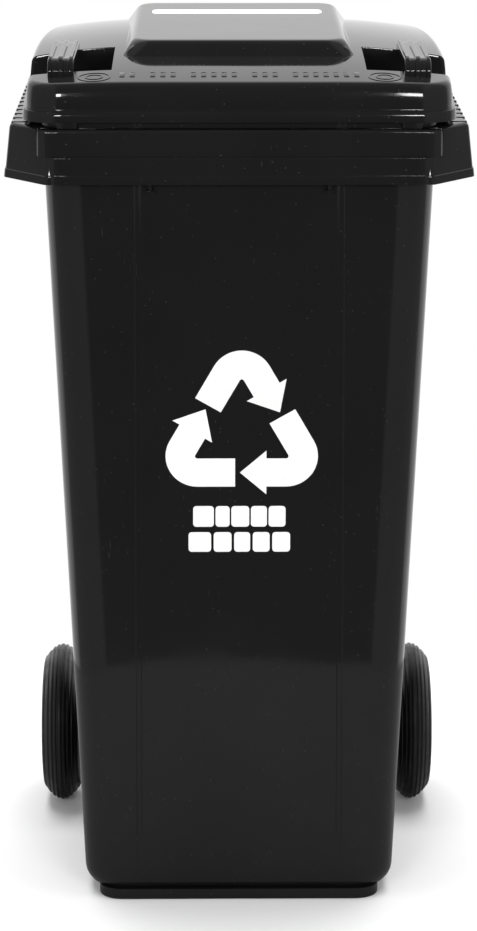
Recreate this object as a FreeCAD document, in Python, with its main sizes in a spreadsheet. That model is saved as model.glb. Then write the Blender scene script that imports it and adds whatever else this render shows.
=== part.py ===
import FreeCAD, Part
import os
import re
import Sketcher
from FreeCAD import Placement, Rotation, Vector

# A two-wheeled refuse bin of about 120 litres, in millimetres.
# The floor is z = 0, the front faces -Y, and the origin is the middle of the footprint.

SIZES = {
    # whole bin
    "overall_width": 485,        # across the lifting wings of the rim
    "overall_depth": 550,        # front of the rim to the back of the handle
    "rim_height": 857,           # top of the rim at its front edge
    "rim_slope": 5,              # degrees that the rim and the lid climb to the rear
    # container
    "wall": 3.2,
    "floor_thickness": 4,
    "container_top_width": 406,
    "container_base_width": 342,
    "front_set_in_top": 15,      # front wall behind the rim's front edge, at rim height
    "front_set_in_base": 92,     # the same at the floor
    "back_reach_top": 470,       # rear wall behind the rim's front edge, at rim height
    "back_reach_base": 405,
    "container_corner": 40,
    "container_base_round": 16,
    "container_base_lift": 7,    # underside of the container above the floor
    "seat_upstand": 4,           # container wall above the rim's deck
    "crease_spacing": 214,
    "crease_width": 6,
    "crease_depth": 0.8,
    # foot skirt under the container
    "foot_width": 310,
    "foot_depth": 292,
    "foot_corner": 26,
    "foot_wall": 9,
    # rim
    "rim_length": 491,
    "rim_band": 55,
    "rim_corner": 44,
    "rim_flare": 6,
    "rim_wall": 3,
    "rim_bead_height": 9,
    "rim_bead_proud": 1,
    "upper_band_height": 27,
    "upper_band_width": 412,
    "lower_band_width": 394,
    "band_step": 1.2,
    "band_lean": 3,              # how far each front band leans back over its height
    "band_round": 6,
    "band_depth": 24,            # front bands, from their faces back into the rim
    "wing_rib_pitch": 25,
    "wing_rib_width": 4,
    "wing_rib_height": 1.2,
    "wing_rib_length": 17,
    "comb_rib_pitch": 30.4,
    "comb_rib_width": 2.5,
    "long_rib_drop": 6,
    # handle bar, lugs and hinge
    "handle_diameter": 30,
    "handle_bore": 22,
    "hinge_rise": 12,            # hinge axis above the rear edge of the rim
    "lug_radius": 17,
    "lug_width": 8,
    "arm_width": 28,
    "arm_eye_radius": 15,
    "arm_drop": 6,
    "hinge_spacing": 348,        # middle of one lid arm to the middle of the other
    "hinge_side_gap": 2,
    "pin_diameter": 12,
    "pin_head_diameter": 18,
    "pin_head_width": 4,
    "pin_socket": 14,
    # lid
    "lid_wall": 2.8,
    "lid_width": 429,
    "lid_top_width": 422,
    "lid_front": 14,
    "lid_back": 490,
    "lid_lean": 7,
    "lid_gap": 7,                # lid's lower edge above the rim's deck
    "lid_corner": 30,
    "lid_edge_round": 7,
    "crown_height": 60.5,        # top of the crowned panel above the rim's deck
    "crown_place": 255,
    "crown_radius": 1900,
    "lip_height": 11,
    "lip_proud": 3,
    "lip_front": 9,
    "lip_back": 492,
    "lip_lean": 1,
    "stop_width": 20,
    "stop_depth": 8.5,
    "stop_spacing": 350,
    "stop_gap": 0.3,
    # raised centre panel of the lid
    "dome_height": 72,
    "dome_base_width": 252,
    "dome_top_width": 222,
    "dome_front": 127,
    "dome_back": 449,
    "dome_lean": 12,
    "dome_front_lean": 10,
    "dome_foot": 50,
    "dome_corner": 14,
    "dome_edge_round": 5,
    # corner grips of the lid and the finger pockets under them
    "pocket_inner": 132,
    "pocket_front": 72,
    "pocket_back": 182,
    "pocket_floor": 25,
    "grip_place": 182.5,
    "grip_width": 27,
    "grip_front": 54,
    "grip_back": 194,
    "grip_top": 64.5,
    "grip_thickness": 10.5,
    "grip_foot": 15,
    "grip_round": 6,
    "grip_rib_width": 5,
    "grip_rib_proud": 2,
    "grip_rib_pitch": 11,
    # axle and its housing
    "axle_diameter": 20,
    "axle_reach": 447,           # behind the rim's front edge
    "axle_groove_depth": 1.8,
    "axle_groove_width": 7,
    "axle_end_gap": 1,
    "running_gap": 0.08,
    "housing_width": 376,
    "housing_wall": 4,
    "housing_front": 44,
    "housing_back": 19,
    "housing_top": 22,
    "housing_drop": 20,
    "housing_rib": 6,
    "cheek_bottom": 24,
    # wheels
    "wheel_diameter": 190,
    "wheel_width": 48,
    "wheel_side_gap": 3.5,
    "tyre_height": 23,           # tyre from its seat on the wheel to the tread
    "tyre_bulge": 5,
    "tread_groove_depth": 2,
    "tread_groove_width": 2.4,
    "tread_groove_pitch": 8,
    "tread_shoulder": 4,
    "rim_ring_thickness": 8,
    "rim_ring_width": 40,
    "hub_diameter": 42,
    "hub_end_wall": 4,
    "hub_reach": 20,
    "web_place": 4,
    "web_thickness": 5,
    "spoke_width": 4,
    "spoke_depth": 18,
    # sprung latch in each wheel's hub
    "latch_place": 10,
    "latch_tip_diameter": 5,
    "latch_flange_diameter": 8,
    "latch_flange_width": 3,
    "latch_flange_place": 20,
    "latch_stem_diameter": 3,
    "latch_stem_length": 10,
    "latch_groove_gap": 0.3,
    "latch_boss_diameter": 16,
    "latch_boss_top": 50,
    "latch_cap_diameter": 10,
    "latch_cap_width": 5,
    "latch_cap_place": 44,
    "fit_gap": 0.05,
    "spring_wire": 0.9,
    "spring_radius": 2.9,
    "spring_coils": 7,
}

doc = FreeCAD.newDocument("wheelie_bin")
sheet = doc.addObject("Spreadsheet::Sheet", "sizes")
for row, (alias, value) in enumerate(SIZES.items(), start=1):
    sheet.set("A%d" % row, alias)
    sheet.set("B%d" % row, str(value))
    sheet.setAlias("B%d" % row, alias)
doc.recompute()


# ---- expressions and small helpers ----

def full(expression):
    """Write each size's name in an expression the way the document's formulas need it."""
    def with_sheet(word):
        return "sizes." + word.group(0) if word.group(0) in SIZES else word.group(0)
    return re.sub(r"[a-z_]+", with_sheet, str(expression))


def number(expression):
    return float(sheet.evalExpression(full(expression)))


def bind(item, **expressions):
    for name, expression in expressions.items():
        item.setExpression(name.replace("__", "."), full(expression))
    return item


def stand(item, x="0", y="0", z="0", turn=None):
    """Place an item at x, y, z, turned by (axis, degrees) about its own corner."""
    if turn:
        item.Placement = Placement(Vector(), Rotation(turn[0], turn[1]))
    return bind(item, Placement__Base__x=x, Placement__Base__y=y, Placement__Base__z=z)


ACROSS = Vector(1, 0, 0)
UPRIGHT = (ACROSS, 90)                     # turns a wedge's own Y into Z
ALONG_X = (Vector(0, 1, 0), 90)            # turns a cylinder's own Z into X


def box(name, x, y, z):
    """A box from x[0] to x[1], y[0] to y[1] and z[0] to z[1]."""
    item = doc.addObject("Part::Box", name)
    bind(item, Length="(%s) - (%s)" % (x[1], x[0]), Width="(%s) - (%s)" % (y[1], y[0]),
         Height="(%s) - (%s)" % (z[1], z[0]))
    return stand(item, x[0], y[0], z[0])


def rod(name, radius, x, y, z):
    """A cylinder along X from x[0] to x[1], on the axis y, z."""
    item = doc.addObject("Part::Cylinder", name)
    bind(item, Radius=radius, Height="(%s) - (%s)" % (x[1], x[0]))
    return stand(item, x[0], y, z, ALONG_X)


def wedge_sizes(item, low, high):
    """Bind a wedge that stands upright: low and high are (half width, front, back, z)."""
    bind(item, Xmin="-(%s)" % low[0], Xmax=low[0], Zmin="-(%s)" % low[2], Zmax="-(%s)" % low[1],
         X2min="-(%s)" % high[0], X2max=high[0], Z2min="-(%s)" % high[2],
         Z2max="-(%s)" % high[1], Ymin=low[3], Ymax=high[3])
    item.Placement = Placement(Vector(), Rotation(*UPRIGHT))
    return item


def combined(kind, name, shapes):
    item = doc.addObject(kind, name)
    item.Shapes = shapes
    return item


def fused(name, shapes):
    return combined("Part::MultiFuse", name, shapes)


def cut(name, base, tool):
    item = doc.addObject("Part::Cut", name)
    item.Base = base
    item.Tool = tool
    return item


def origin_plane(body, role):
    return next(item for item in body.Origin.OriginFeatures if item.Role == role)


def outline(body, name, role, corners):
    """A closed sketch of straight lines whose corners are bound to expressions."""
    sketch = body.newObject("Sketcher::SketchObject", name)
    sketch.AttachmentSupport = (origin_plane(body, role), [""])
    sketch.MapMode = "FlatFace"
    points = [Vector(number(across), number(up), 0) for across, up in corners]
    count = len(points)
    for index in range(count):
        sketch.addGeometry(Part.LineSegment(points[index], points[(index + 1) % count]), False)
    for index in range(count):
        sketch.addConstraint(Sketcher.Constraint("Coincident", index, 2, (index + 1) % count, 1))
    for index, corner in enumerate(corners):
        for kind, expression, value in zip(("DistanceX", "DistanceY"), corner, points[index]):
            place = sketch.addConstraint(Sketcher.Constraint(kind, -1, 1, index, 1, value))
            sketch.setExpression("Constraints[%d]" % place, full(expression))
    return sketch


def turned(name, corners, role="XY_Plane", axis="H_Axis"):
    """A piece of revolution about the sketch's axis."""
    body = doc.addObject("PartDesign::Body", name)
    sketch = outline(body, name + "_section", role, corners)
    revolution = body.newObject("PartDesign::Revolution", name + "_turned")
    revolution.Profile = sketch
    revolution.ReferenceAxis = (sketch, [axis])
    revolution.Angle = 360
    return body


def padded(name, corners, width):
    """A side outline (y, z) made into a solid of the given width, about the middle plane."""
    body = doc.addObject("PartDesign::Body", name)
    pad = body.newObject("PartDesign::Pad", name + "_pad")
    pad.Profile = outline(body, name + "_outline", "YZ_Plane", corners)
    pad.SideType = "Symmetric"
    bind(pad, Length=width)
    return body


def edges_where(feature, test):
    found = []
    for index, edge in enumerate(feature.Shape.Edges, start=1):
        if test(edge.Vertexes[0].Point, edge.Vertexes[-1].Point):
            found.append("Edge%d" % index)
    return found


def dressed(body, kind, base, test, size):
    """Add a fillet or a chamfer on the edges whose two ends pass the test."""
    doc.recompute()
    feature = body.newObject("PartDesign::" + kind, body.Name + "_" + kind.lower())
    feature.Base = (base, edges_where(base, test))
    bind(feature, **{"Radius" if kind == "Fillet" else "Size": size})
    return feature


def is_upright(start, end):
    return abs(start.z - end.z) > 4


def tapered(name, low, high, corner, kind="Fillet", level=None, round_size=None):
    """An upright wedge with rounded or chamfered corners, and one rounded level edge ring."""
    body = doc.addObject("PartDesign::Body", name)
    base = wedge_sizes(body.newObject("PartDesign::AdditiveWedge", name + "_wedge"), low, high)
    feature = dressed(body, kind, base, is_upright, corner)
    if level is not None:
        place = number(level)

        def on_level(start, end):
            return abs(start.z - place) < 0.01 and abs(end.z - place) < 0.01
        dressed(body, "Fillet", feature, on_level, round_size)
    return body


# ---- places that more than one piece uses ----

FRONT = "(-overall_depth / 2)"
SINE = "sin(rim_slope * 1 deg)"
COSINE = "cos(rim_slope * 1 deg)"
RIM_FRONT = "(%s - rim_band * %s)" % (FRONT, SINE)
RIM_BACK = "(%s + rim_length * %s)" % (RIM_FRONT, COSINE)
RIM_BACK_HEIGHT = "(rim_height + rim_length * %s)" % SINE
HINGE_Y = "(overall_depth / 2 - lug_radius)"
HINGE_Z = "(%s + hinge_rise)" % RIM_BACK_HEIGHT
AXLE_Y = "(%s + axle_reach)" % FRONT
AXLE_Z = "(wheel_diameter / 2)"
TYRE_SEAT = "(wheel_diameter / 2 - tyre_height)"
WHEEL_MIDDLE = "(housing_width / 2 + wheel_side_gap + wheel_width / 2)"
PIN_BORE = "(pin_diameter / 2 + fit_gap)"
ARM_INNER = "(hinge_spacing / 2 - arm_width / 2)"
ARM_OUTER = "(hinge_spacing / 2 + arm_width / 2)"
LUG_INNER = "(%s - hinge_side_gap - lug_width)" % ARM_INNER
LUG_OUTER = "(%s + hinge_side_gap)" % ARM_OUTER
SIDES = {"left": -1, "right": 1}


def sided(side, near, far):
    """The x range of something between near and far from the middle, on one side."""
    if SIDES[side] > 0:
        return near, far
    return "-(%s)" % far, "-(%s)" % near


def tilted(item):
    """Lay an item made on a level rim onto the sloping rim."""
    item.Placement = Placement(Vector(), Rotation(ACROSS, number("rim_slope")))
    item.setExpression("Placement.Rotation.Angle", full("rim_slope * 1 deg"))
    return stand(item, "0", RIM_FRONT, "rim_height")


# ---- container ----

def container_section(height, inset):
    """Half width, front, back and height of the container's four-sided section."""
    share = "(%s) / rim_height" % height
    half = "(container_base_width + (container_top_width - container_base_width) * %s) / 2" % share
    front = "%s + front_set_in_base + (front_set_in_top - front_set_in_base) * %s" % (FRONT, share)
    back = "%s + back_reach_base + (back_reach_top - back_reach_base) * %s" % (FRONT, share)
    return "%s - %s" % (half, inset), "%s + %s" % (front, inset), "%s - %s" % (back, inset), height


def make_container():
    top = "%s + seat_upstand + wall * 2" % RIM_BACK_HEIGHT
    outer = tapered("container_outer", container_section("container_base_lift", "0"),
                    container_section(top, "0"), "container_corner",
                    level="container_base_lift", round_size="container_base_round")
    floor = "(container_base_lift + floor_thickness)"
    cavity = tapered("container_cavity", container_section(floor, "wall"),
                     container_section(top + " + wall", "wall"), "container_corner - wall",
                     level=floor, round_size="container_base_round - wall")
    above_seat = doc.addObject("PartDesign::Body", "above_seat")
    block = above_seat.newObject("PartDesign::AdditiveBox", "above_seat_block")
    bind(block, Length="overall_width * 2", Width="overall_depth * 3", Height="overall_width")
    stand(block, "-overall_width", "-overall_depth", "seat_upstand")
    return cut("container_to_seat", outer, tilted(above_seat)), cavity


def make_creases():
    creases = []
    low = container_section("container_base_lift + container_base_round * 1.5", "0")
    high = container_section("rim_height", "0")
    for side, sign in SIDES.items():
        crease = doc.addObject("Part::Wedge", "crease_" + side)
        wedge_sizes(crease,
                    ("crease_width / 2", low[1] + " - crease_width", low[1] + " + crease_depth", low[3]),
                    ("crease_width / 2", high[1] + " - crease_width", high[1] + " + crease_depth",
                     high[3]))
        bind(crease, Placement__Base__x="%d * crease_spacing / 2" % sign)
        creases.append(crease)
    return creases


def make_foot():
    front = "%s + front_set_in_base" % FRONT
    back = front + " + foot_depth"
    outer = tapered("foot_outer", ("foot_width / 2", front, back, "0"),
                    ("foot_width / 2", front, back, "container_base_lift + floor_thickness"),
                    "foot_corner")
    inner = tapered(
        "foot_inner",
        ("foot_width / 2 - foot_wall", front + " + foot_wall", back + " - foot_wall", "-floor_thickness"),
        ("foot_width / 2 - foot_wall", front + " + foot_wall", back + " - foot_wall",
         "container_base_lift"), "foot_corner - foot_wall")
    return cut("foot_skirt", outer, inner)


# ---- rim, on a level deck whose front edge is y = 0 and whose top is z = 0 ----

def make_rim():
    half = "overall_width / 2 - rim_bead_proud"
    outer = tapered("rim_outer", (half, "rim_bead_proud", "rim_length - rim_bead_proud", "-rim_band"),
                    (half + " - rim_flare", "rim_flare + band_step", "rim_length - rim_flare", "0"),
                    "rim_corner", "Chamfer")
    bead = tapered("rim_bead", ("overall_width / 2", "0", "rim_length", "-rim_band"),
                   ("overall_width / 2 - 1", "0.5", "rim_length - 0.5", "-rim_band + rim_bead_height"),
                   "rim_corner", "Chamfer")
    upper = tapered("upper_band", ("upper_band_width / 2", "band_step + band_lean", "band_depth",
                                   "-upper_band_height"),
                    ("upper_band_width / 2", "band_step + band_lean * 2", "band_depth", "0"),
                    "band_round")
    lower = tapered("lower_band", ("lower_band_width / 2", "0", "band_depth", "-rim_band"),
                    ("lower_band_width / 2", "band_lean", "band_depth", "-upper_band_height"),
                    "band_round")
    inside = half + " - rim_wall"
    hollow = tapered("rim_hollow",
                     (inside, "rim_wall + band_step", "rim_length - rim_wall * 2 - rim_bead_proud",
                      "-rim_band - rim_wall"),
                     (inside + " - rim_flare", "rim_wall + band_step + band_lean * 2",
                      "rim_length - rim_wall - rim_flare", "-rim_wall"),
                     "rim_corner - rim_wall * 0.6", "Chamfer")
    shell = cut("rim_shell", fused("rim_outside", [outer, bead, upper, lower]), hollow)
    ribs = make_wing_ribs() + make_comb_ribs()
    return tilted(fused("rim", [shell] + ribs))


def make_wing_ribs():
    """Low ribs across the top of each lifting wing."""
    ribs = []
    outside = "overall_width / 2 - rim_bead_proud - rim_flare - 1"
    first = "rim_corner + wing_rib_pitch / 2"
    count = int(number("(rim_length - rim_corner * 2) / wing_rib_pitch"))
    for side in SIDES:
        for index in range(count):
            place = "%s + %d * wing_rib_pitch" % (first, index)
            ribs.append(box("wing_rib_%s_%d" % (side, index + 1),
                            sided(side, outside + " - wing_rib_length", outside),
                            (place, place + " + wing_rib_width"), ("-rim_wall / 2", "wing_rib_height")))
    return ribs


def make_comb_ribs():
    """Ribs under the front and the wings of the rim; two at the front hang a little lower."""
    ribs = []
    for index in range(-5, 6):
        drop = "long_rib_drop" if abs(index) == 3 else "-3"
        place = "%d * comb_rib_pitch" % index
        ribs.append(box("front_rib_%d" % (index + 6),
                        (place + " - comb_rib_width / 2", place + " + comb_rib_width / 2"),
                        ("rim_wall + band_step + band_lean * 1.2", "front_set_in_top + wall * 3"),
                        ("-rim_band - %s" % drop, "-rim_wall / 2")))
    count = int(number("(rim_length - rim_corner * 2) / (comb_rib_pitch * 2)"))
    for side in SIDES:
        for index in range(count):
            place = "rim_corner + comb_rib_pitch + %d * comb_rib_pitch * 2" % index
            ribs.append(box("wing_web_%s_%d" % (side, index + 1),
                            sided(side, "container_top_width / 2 - wall * 2",
                                  "overall_width / 2 - rim_bead_proud - rim_flare - rim_wall / 2"),
                            (place, place + " + comb_rib_width"), ("-rim_band * 0.6", "-rim_wall / 2")))
    return ribs


# ---- handle bar and hinge lugs ----

def make_handle():
    bar = rod("handle_bar", "handle_diameter / 2", ("-(%s)" % LUG_INNER, LUG_INNER), HINGE_Y, HINGE_Z)
    pieces = [bar]
    for side in SIDES:
        for place, start in (("inner", LUG_INNER), ("outer", LUG_OUTER)):
            x = sided(side, start, start + " + lug_width")
            name = "lug_%s_%s" % (place, side)
            pieces.append(rod(name + "_eye", "lug_radius", x, HINGE_Y, HINGE_Z))
            web = doc.addObject("Part::Wedge", name + "_web")
            bind(web, Xmin=x[0], Xmax=x[1], X2min=x[0], X2max=x[1],
                 Ymin="%s - rim_wall * 2 - rim_bead_proud" % RIM_BACK, Ymax=HINGE_Y,
                 Zmin="%s - hinge_rise - rim_band * 0.8" % HINGE_Z,
                 Zmax="%s - hinge_rise - rim_wall" % HINGE_Z,
                 Z2min="%s - lug_radius" % HINGE_Z, Z2max="%s + lug_radius" % HINGE_Z)
            pieces.append(web)
    return pieces


def make_handle_bores():
    reach = "%s - pin_socket - lug_width" % LUG_INNER
    hollow = rod("handle_hollow", "handle_bore / 2", ("-(%s)" % reach, reach), HINGE_Y, HINGE_Z)
    pin_way = rod("pin_way", PIN_BORE, ("-overall_width / 2", "overall_width / 2"), HINGE_Y, HINGE_Z)
    return [hollow, pin_way]


# ---- axle housing ----

def make_housing():
    half = "housing_width / 2"
    y = ("%s - housing_front" % AXLE_Y, "%s + housing_back" % AXLE_Y)
    beam = box("housing_beam", ("-" + half, half), y,
               ("%s - housing_drop" % AXLE_Z, "%s + housing_top" % AXLE_Z))
    cheeks = [box("cheek_" + side, sided(side, half + " - housing_rib", half), y,
                  ("cheek_bottom", AXLE_Z)) for side in SIDES]
    bays = []
    bay_count = 6
    pitch = "(housing_width - housing_rib) / %d" % bay_count
    for index in range(bay_count):
        start = "-%s + housing_rib + %s * %d" % (half, pitch, index)
        bays.append(box("housing_bay_%d" % (index + 1), (start, "%s + %s - housing_rib" % (start, pitch)),
                        ("%s - housing_front * 2" % AXLE_Y, "%s + housing_back - housing_wall" % AXLE_Y),
                        ("0", "%s + housing_top - housing_wall" % AXLE_Z)))
    bore = rod("axle_bore", "axle_diameter / 2 + running_gap", ("-housing_width", "housing_width"),
               AXLE_Y, AXLE_Z)
    return cut("axle_housing", fused("housing_solid", [beam] + cheeks), fused("housing_bays", bays)), bore


def make_bin_body():
    container, cavity = make_container()
    housing, axle_bore = make_housing()
    solid = fused("bin_solid", [container, make_foot(), make_rim(), housing] + make_handle())
    away = fused("bin_away", [cavity, axle_bore] + make_creases() + make_handle_bores())
    return cut("bin_body", solid, away)


# ---- lid, on the same level deck as the rim ----

def lid_shell_solid(name, inset):
    """The crowned body of the lid and its centre panel, drawn in by a wall's thickness."""
    foot = "lid_gap" if inset == "0" else "-lid_wall"
    body = tapered(
        name + "_skirt",
        ("lid_width / 2 - %s" % inset, "lid_front + %s" % inset, "lid_back - %s" % inset, foot),
        ("lid_top_width / 2 - %s" % inset, "lid_front + lid_lean + %s" % inset,
         "lid_back - lid_lean - %s" % inset, "crown_height + lid_wall"), "lid_corner - %s" % inset)
    crown = rod(name + "_crown", "crown_radius - %s" % inset, ("-lid_width", "lid_width"),
                "crown_place", "crown_height - crown_radius")
    crowned = combined("Part::MultiCommon", name + "_crowned", [body, crown])
    dome = tapered(
        name + "_dome",
        ("dome_base_width / 2 - %s" % inset, "dome_front + %s" % inset, "dome_back - %s" % inset,
         "dome_foot - %s * 2" % inset),
        ("dome_top_width / 2 - %s" % inset, "dome_front + dome_front_lean + %s" % inset,
         "dome_back - dome_lean - %s" % inset, "dome_height - %s" % inset), "dome_corner",
        level="dome_height - %s" % inset, round_size="dome_edge_round")
    return crowned, dome


def rounded_top(crowned):
    """Round the long top edges of the crowned lid."""
    doc.recompute()
    radius = number("lid_edge_round")
    item = doc.addObject("Part::Fillet", "lid_rounded")
    item.Base = crowned
    limit = number("lid_gap + lip_height")
    edges = []
    for index, edge in enumerate(crowned.Shape.Edges, start=1):
        if min(edge.Vertexes[0].Point.z, edge.Vertexes[-1].Point.z) > limit:
            edges.append((index, radius, radius))
    item.Edges = edges
    return item


def pocket_box(name, side, grow):
    return box(name, sided(side, "pocket_inner - %s" % grow, "lid_width"),
               ("pocket_front - %s" % grow, "pocket_back + %s" % grow),
               ("pocket_floor - %s" % grow, "dome_height * 2"))


def grip_corners(proud):
    """Side outline of a grip: a foot on the front ledge and a bar over the pocket."""
    front = "grip_front - %s" % proud
    back = "grip_back + %s" % proud
    top = "grip_top + %s" % proud
    under = "grip_top - grip_thickness"
    return [(front, "pocket_floor + grip_foot"), (front, top + " - grip_round"),
            (front + " + grip_round * 0.3", top + " - grip_round * 0.3"),
            (front + " + grip_round", top),
            (back + " - grip_round * 2", top), (back, top + " - grip_round"), (back, under),
            ("pocket_front", under), ("pocket_front - 1", "pocket_floor + grip_foot")]


def make_grips():
    grips = []
    for side, sign in SIDES.items():
        bar = padded("grip_bar_" + side, grip_corners("0"), "grip_width")
        bind(bar, Placement__Base__x="%d * grip_place" % sign)
        grips.append(bar)
        for index in (-1, 0, 1):
            rib = padded("grip_rib_%s_%d" % (side, index + 2), grip_corners("grip_rib_proud"),
                         "grip_rib_width")
            bind(rib, Placement__Base__x="%d * grip_place + %d * grip_rib_pitch" % (sign, index))
            grips.append(rib)
    return grips


def make_lid():
    outside, dome = lid_shell_solid("lid_outside", "0")
    inside, inner_dome = lid_shell_solid("lid_inside", "lid_wall")
    half = "lid_width / 2 + lip_proud"
    lip = tapered("lid_lip", (half, "lip_front", "lip_back", "lid_gap"),
                  (half + " - lip_lean", "lip_front + lip_lean", "lip_back - lip_lean",
                   "lid_gap + lip_height"), "lid_corner")
    pockets = fused("lid_pockets", [pocket_box("pocket_" + side, side, "0") for side in SIDES])
    pocket_walls = fused("lid_pocket_walls",
                         [pocket_box("pocket_wall_" + side, side, "lid_wall") for side in SIDES])
    solid = cut("lid_solid", fused("lid_whole", [rounded_top(outside), dome, lip]), pockets)
    hollow = cut("lid_hollow", fused("lid_hollow_whole", [inside, inner_dome]), pocket_walls)
    stops = [box("lid_stop_" + side,
                 sided(side, "stop_spacing / 2 - stop_width / 2", "stop_spacing / 2 + stop_width / 2"),
                 ("lip_front + lip_lean * 2", "lip_front + stop_depth"),
                 ("stop_gap", "lid_gap + lip_lean * 2"))
             for side in SIDES]
    shell = cut("lid_shell", solid, hollow)
    panel = tilted(fused("lid_panel", [shell] + make_grips() + stops))
    arms = []
    for side in SIDES:
        x = sided(side, ARM_INNER, ARM_OUTER)
        arms.append(box("lid_arm_" + side, x, ("%s - hinge_rise" % RIM_BACK, HINGE_Y),
                        ("%s - arm_drop" % HINGE_Z, "%s + arm_eye_radius" % HINGE_Z)))
        arms.append(rod("lid_eye_" + side, "arm_eye_radius", x, HINGE_Y, HINGE_Z))
    bore = rod("lid_eye_bore", "pin_diameter / 2 + running_gap", ("-lid_width", "lid_width"),
               HINGE_Y, HINGE_Z)
    return cut("lid", fused("lid_with_arms", [panel] + arms), bore)


# ---- hinge pins ----

def make_hinge_pin(side):
    """A headed pin along X; its own x runs outwards from the middle of the bin."""
    inner = "%s - pin_socket" % LUG_INNER
    head = "%s + lug_width + fit_gap" % LUG_OUTER
    corners = [(inner, "0"), (inner, "pin_diameter / 2"), (head, "pin_diameter / 2"),
               (head, "pin_head_diameter / 2"), (head + " + pin_head_width", "pin_head_diameter / 2"),
               (head + " + pin_head_width", "0")]
    pin = turned("hinge_pin_" + side, corners)
    outwards(pin, side)
    return stand_body(pin, "0", HINGE_Y, HINGE_Z)


def outwards(body, side):
    """Turn a piece made for the right side so that it faces out on its own side."""
    if SIDES[side] < 0:
        body.Placement = Placement(Vector(), Rotation(Vector(0, 0, 1), 180))


def stand_body(body, x, y, z):
    return bind(body, Placement__Base__x=x, Placement__Base__y=y, Placement__Base__z=z)


# ---- axle and wheels; a wheel's own x runs outwards from the middle of its width ----

def make_axle():
    end = "(%s + hub_reach - hub_end_wall - axle_end_gap)" % WHEEL_MIDDLE
    groove = "(%s - latch_place)" % WHEEL_MIDDLE
    radius = "axle_diameter / 2"
    low = radius + " - axle_groove_depth"
    half = []
    for sign in (-1, 1):
        side = "%s - axle_groove_width / 2" if sign > 0 else "%s + axle_groove_width / 2"
        other = "%s + axle_groove_width / 2" if sign > 0 else "%s - axle_groove_width / 2"
        near, far = side % groove, other % groove
        stretch = [("%d * (%s)" % (sign, near), radius), ("%d * (%s)" % (sign, near), low),
                   ("%d * (%s)" % (sign, far), low), ("%d * (%s)" % (sign, far), radius)]
        half.append(stretch)
    left = half[0]
    corners = [("-" + end, "0"), ("-" + end, radius + " - 1"), ("-%s + 1" % end, radius)]
    corners += left + half[1]
    corners += [(end + " - 1", radius), (end, radius + " - 1"), (end, "0")]
    return stand_body(turned("axle", corners), "0", AXLE_Y, AXLE_Z)


def make_tyre(side):
    half = "wheel_width / 2"
    outer = "wheel_diameter / 2"
    inner = TYRE_SEAT
    low = [("-rim_ring_width / 2", inner), ("-" + half, inner + " + tyre_bulge"),
           ("-" + half, outer + " - tread_shoulder * 2"), ("-%s + tread_shoulder * 0.7" % half,
                                                           outer + " - tread_shoulder"),
           ("-%s + tread_shoulder * 1.8" % half, outer + " - tread_shoulder * 0.3")]
    tread = []
    for index in range(-1, 3):
        middle = "(%d - 0.5) * tread_groove_pitch" % index
        for across, drop in (("- tread_groove_width / 2", "0"), ("- tread_groove_width / 3", "1"),
                             ("+ tread_groove_width / 3", "1"), ("+ tread_groove_width / 2", "0")):
            tread.append(("%s %s" % (middle, across), "%s - tread_groove_depth * %s" % (outer, drop)))
    high = [("-(%s)" % across, radius) for across, radius in reversed(low)]
    tyre = turned("tyre_" + side, low + tread + high)
    outwards(tyre, side)
    return stand_body(tyre, "%d * %s" % (SIDES[side], WHEEL_MIDDLE), AXLE_Y, AXLE_Z)


def make_wheel_rim(side):
    hub, ring = "hub_diameter / 2", TYRE_SEAT
    bore = "axle_diameter / 2 + running_gap"
    inner_face, end = "-wheel_width / 2", "hub_reach"
    ring_inside = ring + " - rim_ring_thickness"
    web_far = "web_place + web_thickness"
    corners = [(inner_face, bore), (inner_face, hub), ("web_place", hub), ("web_place", ring_inside),
               ("-rim_ring_width / 2", ring_inside), ("-rim_ring_width / 2", ring),
               ("rim_ring_width / 2", ring), ("rim_ring_width / 2", ring_inside),
               (web_far, ring_inside), (web_far, hub), (end, hub), (end, "0"),
               (end + " - hub_end_wall", "0"), (end + " - hub_end_wall", bore)]
    wheel = turned("wheel_rim_" + side, corners)
    spoke = wheel.newObject("PartDesign::AdditiveBox", "spoke_" + side)
    bind(spoke, Length="spoke_depth", Width="%s - %s + 2" % (ring_inside, hub), Height="spoke_width")
    stand(spoke, "web_place + 1 - spoke_depth", hub + " - 1", "-spoke_width / 2")
    doc.recompute()
    spokes = wheel.newObject("PartDesign::PolarPattern", "spokes_" + side)
    spokes.Originals = [spoke]
    spokes.Axis = (origin_plane(wheel, "X_Axis"), [""])
    spokes.Angle = 360
    spokes.Occurrences = 6
    wheel.Tip = spokes
    doc.recompute()
    for kind, name, radius, low, high in (
            ("Additive", "latch_boss", "latch_boss_diameter / 2", hub + " - 3", "latch_boss_top"),
            ("Subtractive", "latch_tip_way", "latch_tip_diameter / 2 + running_gap", "5", hub),
            ("Subtractive", "latch_chamber", "latch_flange_diameter / 2 + running_gap * 2",
             "latch_flange_place - running_gap", "latch_cap_place + 1"),
            ("Subtractive", "latch_cap_seat", "latch_cap_diameter / 2 + fit_gap", "latch_cap_place",
             "latch_boss_top + 1")):
        cylinder = wheel.newObject("PartDesign::%sCylinder" % kind, "%s_%s" % (name, side))
        bind(cylinder, Radius=radius, Height="(%s) - (%s)" % (high, low))
        stand(cylinder, "-latch_place", "0", low)
        doc.recompute()
    outwards(wheel, side)
    return stand_body(wheel, "%d * %s" % (SIDES[side], WHEEL_MIDDLE), AXLE_Y, AXLE_Z)


# ---- the sprung latch that holds a wheel on the axle; its own z runs out from the axle ----

def latch_x(side):
    return "%d * (%s - latch_place)" % (SIDES[side], WHEEL_MIDDLE)


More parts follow.
